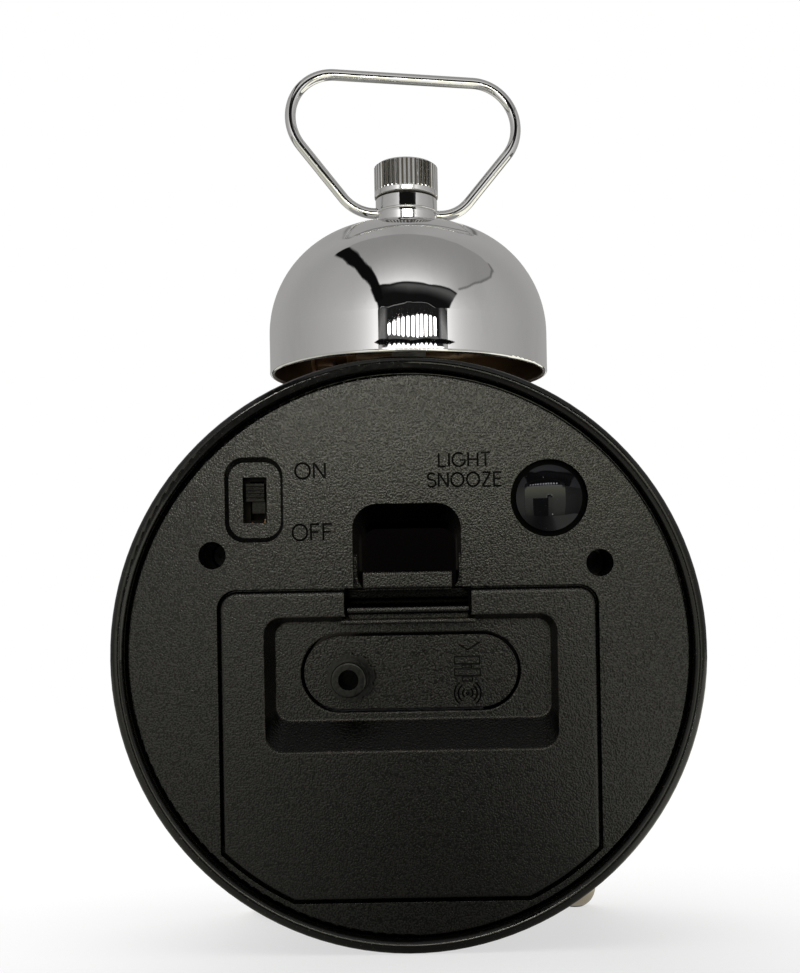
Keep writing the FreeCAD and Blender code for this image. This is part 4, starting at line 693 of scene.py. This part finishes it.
def marked_cover():
    """The moulded back cover with its words and signs sunk into it."""
    shape = bmesh.new()
    shape.from_mesh(frame["nodes"]["back_cover"].data)
    bmesh.ops.remove_doubles(shape, verts=shape.verts, dist=2e-7)
    blank = bpy.data.objects.new("cover_blank", mesh_from(shape, "cover_blank"))
    marks = bpy.data.objects.new("cover_marks", cover_marks())
    for item in (blank, marks):
        item.data.materials.append(FINISHES["black_moulding"])
        item.data.materials.append(FINISHES["groove_black"])
        SCENE.collection.objects.link(item)
    cut = blank.modifiers.new("words", "BOOLEAN")
    cut.operation = "DIFFERENCE"
    cut.solver = "EXACT"
    cut.use_self = True
    cut.object = marks
    done = bpy.data.meshes.new_from_object(
        blank.evaluated_get(bpy.context.evaluated_depsgraph_get()))
    done.name = "cover_moulding"
    for item in (blank, marks):
        bpy.data.objects.remove(item)
    done.shade_smooth()
    done.set_sharp_from_angle(angle=math.radians(28))
    grooves = [face.material_index for face in done.polygons]
    cover = new_piece("cover_moulding", done, FINISHES["black_moulding"], "case")
    done.materials.append(FINISHES["groove_black"])
    for face, groove in zip(done.polygons, grooves):
        face.material_index = groove
        face.use_smooth = abs(face.normal.dot(BACKWARD)) < 0.9999
    even = cover.modifiers.new("even_normals", "WEIGHTED_NORMAL")
    even.keep_sharp = True
    even.weight = 90
    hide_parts("back_cover")
    return cover


# Dial printing

NUMERAL_R = 34.5
NUMERAL_HIGH = 6.4
NUMERAL_WIDE = (0.95, 4.4, 4.4, 4.4, 4.4, 4.4, 4.4, 4.4, 4.4, 7.6, 7.6, 7.6)
TICK_R = (39.6, 42.6)
PRINT_THICK = 0.03


def dial_printing():
    """Printed numerals and minute marks, a thin film of paint on the plate."""
    shape = bmesh.new()
    out, depth = -DIAL_FACE_Y + PRINT_THICK, PRINT_THICK - 0.005
    for hour, width in enumerate(NUMERAL_WIDE, 1):
        a = math.radians(30 * hour)
        add_word(shape, str(hour), NUMERAL_R * math.sin(a), NUMERAL_R * math.cos(a),
                 width, NUMERAL_HIGH, out, depth, SEEN_FROM_FRONT)
    for minute in range(60):
        a = math.radians(6 * minute)
        inner = TICK_R[0] - 1.2 if minute % 5 == 0 else TICK_R[0]
        line = [(r * math.sin(a), r * math.cos(a)) for r in (inner, TICK_R[1])]
        add_line(shape, line, 0.9 if minute % 5 == 0 else 0.35, out, depth, SEEN_FROM_FRONT)
    bmesh.ops.recalc_face_normals(shape, faces=shape.faces)
    return new_piece("dial_printing", mesh_from(shape, "dial_printing"), FINISHES["hand_paint"],
                     "case")


# Contact leaf in the switch window

# Points across, up and out towards the viewer
LEAF_RUN = (
    (-26.45, 22.75, 22.3), (-26.3, 22.5, 22.4), (-25.6, 22.45, 22.35), (-24.7, 22.5, 22.35),
    (-24.3, 22.6, 22.4), (-24.2, 22.95, 22.4), (-24.2, 23.3, 22.3),
)
LEAF_RADIUS = 0.12


def switch_leaf():
    """Thin bent copper leaf that shows below the slider, in the window's lower corner."""
    line = bpy.data.curves.new("leaf_line", "CURVE")
    line.dimensions = "3D"
    line.bevel_depth = LEAF_RADIUS / 1000
    line.bevel_resolution = 3
    run = line.splines.new("NURBS")
    run.points.add(len(LEAF_RUN) - 1)
    for point, spot in zip(run.points, LEAF_RUN):
        point.co = (*(CASE @ SEEN_FROM_BACK @ Vector(spot)), 1)
    run.order_u = 3
    run.use_endpoint_u = True
    mesh = bpy.data.meshes.new_from_object(bpy.data.objects.new("leaf_line", line))
    mesh.shade_smooth()
    return new_piece("switch_leaf", mesh, FINISHES["hammer_brass"], "case")


# Spring under the light and snooze button


def button_coil():
    """The button's coil spring, a copy of the CAD node on the case."""
    mesh = frame["nodes"]["button_spring"].data.copy()
    coil = new_piece("button_coil", mesh, FINISHES["spring_steel"], "case")
    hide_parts("button_spring")
    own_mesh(coil)


# Camera, as the photograph was taken: close to the back, a little above the case's axis

CAMERA_AT = (-8.0, 217.0, 16.1)
CAMERA_ROLL = -1.0


def back_camera():
    lens = bpy.data.cameras.new("back_camera")
    lens.lens = 42.2
    lens.sensor_width = 36
    lens.shift_x = -0.0563
    lens.shift_y = 0.0734
    lens.clip_start = 0.005
    camera = bpy.data.objects.new("back_camera", lens)
    place = Matrix.Translation(CASE @ Vector(CAMERA_AT))
    roll = Matrix.Rotation(math.radians(CAMERA_ROLL), 4, "Z")
    camera.matrix_world = place @ CASE_TURN.to_4x4() @ SEEN_FROM_BACK @ roll
    SCENE.collection.objects.link(camera)
    SCENE.camera = camera


# Studio: a light tent round the clock, a panel with a strip of lamps above the camera, a pale
# floor and a white world. Across is counted to the camera's right, in millimetres.

PANEL_Y = 163.0
TENT_R = 900.0
STRIP_ACROSS = (-34, -23.5, -14.2, -5, 5.1, 15.2, 24.5, 33.1, 42.9, 53.1, 63.8)
STRIP_LIGHT = 12
SHADE_LIGHT = 0.004
SMALL_LIGHT_AT = (45.8, -25.4)

# Finishes of the black pieces, which have a lamp of their own for the line along their edges
BLACK_FINISHES = (
    "case_black", "bezel_black", "black_moulding", "door_moulding", "knob_plastic", "slider_plastic")


def curve(x, *spots):
    """Height at x of a line through spots (x, height)."""
    return np.interp(x, [spot[0] for spot in spots], [spot[1] for spot in spots])


def step(x, low, high):
    return np.clip((x - low) / (high - low), 0, 1)


def box(x, y, x0, x1, y0, y1, soft):
    """Mask of a rectangle with soft edges."""
    def side(d):
        return np.clip(d / soft + 0.5, 0, 1)
    return side(x - x0) * side(x1 - x) * side(y - y0) * side(y1 - y)


def near_line(u, v, points, width):
    """Mask of a thin line through points."""
    best = np.full(u.shape, 1e9)
    for (ua, va), (ub, vb) in zip(points, points[1:]):
        du, dv = ub - ua, vb - va
        t = np.clip(((u - ua) * du + (v - va) * dv) / (du * du + dv * dv), 0, 1)
        best = np.minimum(best, np.hypot(u - ua - t * du, v - va - t * dv))
    return np.clip(1.5 - best / width, 0, 1)


def level(tone):
    """Light that shows in chrome as a screen tone, 0 to 255."""
    return ((tone / 255 + 0.055) / 1.055) ** 2.4 / CHROME_TONE[0]


def studio_only(name, mesh, finish):
    """A stage piece that only shows in glossy surfaces."""
    item = bpy.data.objects.new(name, mesh)
    mesh.materials.append(finish)
    SCENE.collection.objects.link(item)
    item.visible_camera = False
    item.visible_diffuse = False
    item.visible_shadow = False
    item.visible_transmission = False
    return item


def glow_finish(name):
    """Even light from a mesh's own colours."""
    finish = Graph(bpy.data.materials.new(name), "ShaderNodeOutputMaterial")
    tone = finish.add("ShaderNodeVertexColor", {"layer_name": "tone"})
    finish.feed(finish.surface, finish.add("ShaderNodeEmission", {}, {"Color": tone, "Strength": 1.0}))
    return finish.owner


def glowing_sheet(name, spots, light, keep=None, blue=0.985):
    """Sheet through a grid of spots (rows, columns, 3) in the case frame, with the light of each.

    blue is the share of blue in the light, which is a little warm.
    """
    rows, columns = light.shape
    if keep is None:
        keep = np.ones(light.shape, bool)
    quads = [(i * columns + j, i * columns + j + 1, (i + 1) * columns + j + 1, (i + 1) * columns + j)
             for i in range(rows - 1) for j in range(columns - 1) if keep[i:i + 2, j:j + 2].all()]
    mesh = bpy.data.meshes.new(name)
    mesh.from_pydata(spots.reshape(-1, 3).tolist(), [], quads)
    mesh.transform(CASE)
    colours = np.stack([light * 1.015, light, light * blue, light * 0 + 1], -1)
    mesh.color_attributes.new("tone", "FLOAT_COLOR", "POINT").data.foreach_set("color", colours.reshape(-1))
    return studio_only(name, mesh, glow_finish(name))


def upright(x, z, y):
    """Spots of an upright sheet at a distance y behind the case."""
    return np.stack([-x, np.full(x.shape, y), z], -1)


# Outlines of what stands in the tent, on the sky map that looks straight up: the radius is the
# angle from the zenith in degrees, v runs to the camera's side and u to the camera's right.
# Level outlines are (u, v), upright ones (v, u), and folds of the cloth are lines of (u, v).
CEILING_RIGHT = ((-10, 44), (-6, 48), (2, 51), (17, 51.3), (31, 48), (41, 44.2))
CEILING_FOLD = ((42, -10), (47, -7), (51, 2), (51.3, 17), (48, 31), (44.2, 41))
BAND_TOP = ((-18, 51.4), (-13, 53), (-3, 52.1), (10, 51.9), (19, 51.6), (29, 48.7), (37, 47), (44, 46.3))
BAND_GLOW = ((-10, 55), (3, 58), (40, 54))
BAND_LEFT = ((46, -29.5), (57, -28.8), (67, -28.4), (72, -28))
BAND_RIGHT = ((46, 44.2), (57, 43.6), (65, 42.2))
POST_MIDDLE = ((-12, -31), (12, -30.3), (32, -28), (42, -25.8), (51, -24.5), (60, -25))
CLOTH_FOLDS = (
    ((-22, -24), (-12.7, -27), (-6.5, -28.4), (-0.7, -29.7), (4.6, -32.4), (12.3, -35.5), (17.3, -42.9)),
    ((-22, -24), (-22.9, -27.5), (-16.6, -44.8), (-10.3, -59.4)),
    ((17.3, -42.9), (13, -52), (7.9, -60.2)),
)
POST_TONE = 11
FOLD_TONE = 84


def tent_tone(u, v):
    """Screen tone, 0 to 255, of the tent's inside at a point of the sky map."""
    rho = np.hypot(u, v)
    side = np.degrees(np.arctan2(u, v))
    past = np.where(side > 4, side - 32, -24 - side)
    glow = 92 * np.exp(-np.clip(past, 0, 200) / 18) * np.exp((rho - 79) / 27)
    tone = 150 + glow + 2.5 * np.sin(side * 0.09 + 1)
    ceiling = box(u, v, -27, 60, -9.4, 52, 1.0) * step(curve(v, *CEILING_RIGHT) - u, -0.5, 0.5)
    lit = 132 + 84 * np.clip((v + 12) / 62, 0, 1) ** 3 * np.clip(1 - ((u - 1) / 56) ** 2, 0, 1)
    tone = tone + (lit - tone) * ceiling
    tone = tone + (FOLD_TONE - tone) * near_line(u, v, CEILING_FOLD, 0.8) * 0.7
    top = curve(u, *BAND_TOP)
    left = curve(v, *BAND_LEFT)
    right = curve(v, *BAND_RIGHT)
    band = step(v - top, -0.5, 0.5) * step(u - left, -0.5, 0.5) * step(right - u, -0.5, 0.5) * (rho < 90)
    fade = 1 - step(v - curve(u, *BAND_GLOW), -1, 8)
    dark = 16 + 62 * step(v - top, 0.6, 3) * fade * step(u, -22, -8)
    tone = tone + (dark - tone) * band
    middle = curve(v, *POST_MIDDLE)
    beyond = step(np.hypot(u - middle, v + 6), 4.2, 5.2) * (v < -6)
    post = box(u - middle, v, -4.2, 4.2, -10, 66, 1.0) * (1 - beyond)
    tone = tone + (POST_TONE - tone) * post
    for line in CLOTH_FOLDS:
        tone = tone + (FOLD_TONE - tone) * near_line(u, v, line, 0.8) * 0.8
    return np.clip(tone, 0, 255)


def light_tent():
    """Dome round the bell whose tones show in the chrome."""
    gap = 0.75
    count = 2 * int(98 / gap) + 1
    line = (np.arange(count) - count // 2) * gap
    v, u = np.meshgrid(line, line, indexing="ij")
    rho = np.radians(np.hypot(u, v))
    side = np.arctan2(u, v)
    spots = np.stack([-np.sin(rho) * np.sin(side), np.sin(rho) * np.cos(side), np.cos(rho)], -1)
    spots = spots * TENT_R + np.array([0, BELL_AXIS[1], BELL_MIDDLE_Z])
    glowing_sheet("light_tent", spots, level(tent_tone(u, v)), np.degrees(rho) < 97)


def panel_top(x):
    """Upper edge of the panel."""
    return curve(x, (-59, 89.5), (-53.5, 94), (-22, 100.4), (12, 103.9), (44, 103.8), (88, 95.4),
                 (97.4, 93.3))


def shade_edge(x):
    """Upper and lower edge of the dark bar under the strip."""
    return (curve(x, (-69, 80.8), (-57, 80.8), (-32, 79.5), (14, 78.7), (63, 81.1), (92, 83.6), (121, 85.7)),
            curve(x, (-69, 80.7), (-57, 79.2), (-42, 78.3), (14, 77.6), (63, 79.9), (102, 83), (121, 85.6)))


def cloth_light(x, z):
    """Light of the tent's cloth, brighter up towards the strip and dimmer in the middle."""
    light = curve(z, (-70, 0.15), (-36, 0.5), (-19, 0.95), (11, 1.2), (21, 1.3), (33, 1.45), (44, 1.9),
                  (53, 2.3), (77, 3.0))
    return light * (1 - 0.42 * box(x, z, -30, 36, -90, -4, 24) - 0.15 * box(x, z, 16, 48, -20, 40, 14))


def speckle(x, z):
    """Small bright spots on the dark board above the strip."""
    return np.sin(x * 2.9 + 3 * np.sin(z * 1.7)) * np.sin(z * 3.1 + 2 * np.sin(x * 1.3)) > 0.86


def panel_light(x, z):
    """Light of the panel in front of the clock: strip lamps above, cloth below."""
    bar_top, bar_low = shade_edge(x)
    top = panel_top(x)
    tone = 24 + 84 * step(-x, 36, 44) * step(top - z, 0, 9) + 104 * step(x, 72, 80) * step(top - z, 0, 9)
    tone = tone + 30 * speckle(x, z)
    lamp_top = curve(x, (-34, 84.3), (-23, 84.6), (-5, 85), (15, 85.5), (34, 86.6), (64, 87.8))
    lamp_low = curve(x, (-34, 81.2), (-5, 80.1), (23, 80.1), (43, 80.9), (64, 82.5))
    strip = box(x, z, -37.5, 67.5, lamp_low, lamp_top, 0.5)
    tone = tone + (120 - tone) * strip
    under = step(lamp_low - z, 0, 0.3) * box(x, z, -36, 74, 70, 100, 2)
    tone = tone + (84 - tone) * under
    tone = tone + (150 - tone) * box(x, z, -57, 95, top - 1.1, top - 0.3, 0.4)
    light = level(tone)
    near = np.min([np.abs(x - spot) for spot in STRIP_ACROSS], 0)
    light = light + STRIP_LIGHT * (1 - step(near, 1.9, 2.8)) * strip
    teeth = bar_low - 0.9 * step(near, 1.4, 4.9)
    cloth = cloth_light(x, z) * step(teeth - z, -0.15, 0.15) + 0.02
    cloth = cloth + (0.45 - cloth) * step(z, 68, 76) * (1 - box(x, z, -50, 85, 0, 200, 6))
    light = np.where(z < bar_low, cloth, light)
    light = np.where((z >= bar_low) & (z <= bar_top), SHADE_LIGHT, light)
    return light * box(x, z, -57.9, 96.3, -100, 200, 0.8)


def front_panel():
    """Cloth, dark bar and strip of lamps that stand beside and above the camera."""
    x = np.linspace(-58.8, 97.2, 261)
    low = np.linspace(-70, 74, 37)[:, None] + x * 0
    high = 74 + np.linspace(0, 1, 150)[1:, None] * (panel_top(x) - 74)
    z = np.concatenate([low, high])
    x = np.broadcast_to(x, z.shape)
    blue = curve(z, (-70, 0.84), (30, 0.84), (62, 0.71), (72, 0.71), (76, 0.985))
    glowing_sheet("front_panel", upright(x, z, PANEL_Y), panel_light(x, z), blue=blue)
    x = np.linspace(-69, 121, 96)
    z = np.stack(shade_edge(x)[::-1])
    glowing_sheet("shade_bar", upright(np.stack([x, x]), z, PANEL_Y - 0.5), np.full(z.shape, SHADE_LIGHT))


def side_cloths():
    """Cloth of the tent beyond the panel on both sides."""
    z = np.linspace(-60, 77.5, 40)
    for name, x in (("left_cloth", (-420, -160, -110, -58.8)), ("right_cloth", (97.2, 120, 160, 420))):
        spots_x, spots_z = np.meshgrid(np.array(x, float), z)
        glow = curve(z, (-60, 0.35), (-19, 0.75), (11, 0.9), (40, 0.95), (77, 0.7))[:, None]
        near = curve(spots_x, (-160, 0.5), (-110, 1.05), (-58, 1.15), (97, 0.6), (160, 0.4))
        glowing_sheet(name, upright(spots_x, spots_z, PANEL_Y), glow * near, blue=0.87)


def table_glow():
    """What the table sends back: dim behind the clock, brighter to the sides."""
    x, y = np.meshgrid(np.linspace(-600, 600, 241), np.linspace(-600, 600, 13))
    light = curve(x, (-70, 0.6), (-48, 0.45), (-31, 0.36), (-12, 0.2), (0, 0.15), (12, 0.15),
                  (26, 0.25), (35, 0.34), (41, 0.43), (46, 0.65), (52, 1.1), (70, 1.2))
    sheet = glowing_sheet("table_glow", np.stack([-x, y, x * 0], -1), light, blue=0.88)
    sheet.data.transform(CASE.inverted())
    sheet.data.transform(Matrix.Translation((0, 0, 0.0003)) @ Matrix.Scale(0.001, 4))


def phone():
    """Dark face of the camera, and its small light, which show in the button."""
    x, z = np.meshgrid(np.array([-23.0, 31.0]), np.array([-60.0, 31.0]))
    glowing_sheet("phone", upright(x, z, PANEL_Y - 1), np.full(x.shape, 0.1))
    round_spot("light_ring", 0.05, 4.2, 0.0, PANEL_Y - 2)
    round_spot("small_light", 0.01, 1.9, 14.0, PANEL_Y - 2.5)


def round_spot(name, inner, outer, light, y):
    """Round sheet of even light at the camera's small light."""
    r, a = np.meshgrid(np.array([inner, outer]), np.linspace(0, 2 * np.pi, 25))
    spots = upright(SMALL_LIGHT_AT[0] + r * np.cos(a), SMALL_LIGHT_AT[1] + r * np.sin(a), y)
    glowing_sheet(name, spots, np.full(r.shape, light))


def lamp(name, place, aim, size, power, colour=(1, 1, 1), glossy=True, lit=None):
    """Soft lamp; where lit is given, it lights only those pieces."""
    light = bpy.data.lights.new(name, "AREA")
    light.shape = "RECTANGLE"
    light.size, light.size_y = size
    light.energy = power
    light.color = colour
    item = bpy.data.objects.new(name, light)
    here = CASE @ Vector(place)
    way = CASE @ Vector(aim) - here
    item.matrix_world = Matrix.Translation(here) @ way.to_track_quat("-Z", "Y").to_matrix().to_4x4()
    item.visible_glossy = glossy
    SCENE.collection.objects.link(item)
    if lit:
        group = bpy.data.collections.new(name)
        for piece in lit:
            group.objects.link(piece)
        item.light_linking.receiver_collection = group


def floor_and_world():
    """Pale floor that keeps the shadow and goes over into a white world."""
    mesh = bpy.data.meshes.new("floor")
    far = 3.0
    mesh.from_pydata([(-far, -far, 0), (far, -far, 0), (far, far, 0), (-far, far, 0)], [], [(0, 1, 2, 3)])
    floor = Graph(bpy.data.materials.new("floor"), "ShaderNodeOutputMaterial")
    seen = floor.add("ShaderNodeLightPath", out="Is Camera Ray")
    lit = floor.add("ShaderNodeBsdfDiffuse", {}, {"Color": (0.93, 0.93, 0.93, 1)})
    white = floor.add("ShaderNodeEmission", {}, {"Color": (1, 1, 1, 1), "Strength": 1.05})
    dim = floor.add("ShaderNodeBsdfDiffuse", {}, {"Color": (0.3, 0.3, 0.3, 1)})
    reach = floor.vector("LENGTH", floor.place(), out="Value")
    shown = floor.add("ShaderNodeMixShader", {}, {0: reach.rise(0.06, 0.3) * 0.4 + 0.6, 1: lit, 2: white})
    floor.feed(floor.surface, floor.add("ShaderNodeMixShader", {}, {0: seen, 1: dim, 2: shown}))
    item = bpy.data.objects.new("floor", mesh)
    mesh.materials.append(floor.owner)
    SCENE.collection.objects.link(item)
    SCENE.world = bpy.data.worlds.new("studio")
    world = Graph(SCENE.world, "ShaderNodeOutputWorld")
    path = {name: world.add("ShaderNodeLightPath", out=name)
            for name in ("Is Camera Ray", "Is Glossy Ray", "Is Transmission Ray")}
    plain = path["Is Camera Ray"].peak(path["Is Glossy Ray"]).peak(path["Is Transmission Ray"])
    world.feed(world.surface, world.add("ShaderNodeBackground", {}, {
        "Color": (1, 1, 1, 1), "Strength": plain * 0.65 + 0.35}))


def studio():
    floor_and_world()
    light_tent()
    front_panel()
    side_cloths()
    table_glow()
    phone()
    lamp("overhead", (0, 60, 420), (0, 0, 0), (0.5, 0.4), 0.8, glossy=False)
    lamp("front_fill", (120, -420, 260), (0, 0, 0), (0.5, 0.5), 2.2, glossy=False)
    black = [item for item in SCENE.objects if item.type == "MESH" and item.material_slots
             and item.material_slots[0].name.split(".")[0] in BLACK_FINISHES]
    lamp("strip_light", (14, PANEL_Y, 84), (0, 26, 10), (0.11, 0.006), 0.055, (1.0, 0.97, 0.88), lit=black)


def main():
    SCENE.view_settings.view_transform = "Standard"
    back_camera()
    for node in frame["nodes"].values():
        dress(node)
    marked_cover()
    dial_printing()
    switch_leaf()
    button_coil()
    studio()


main()
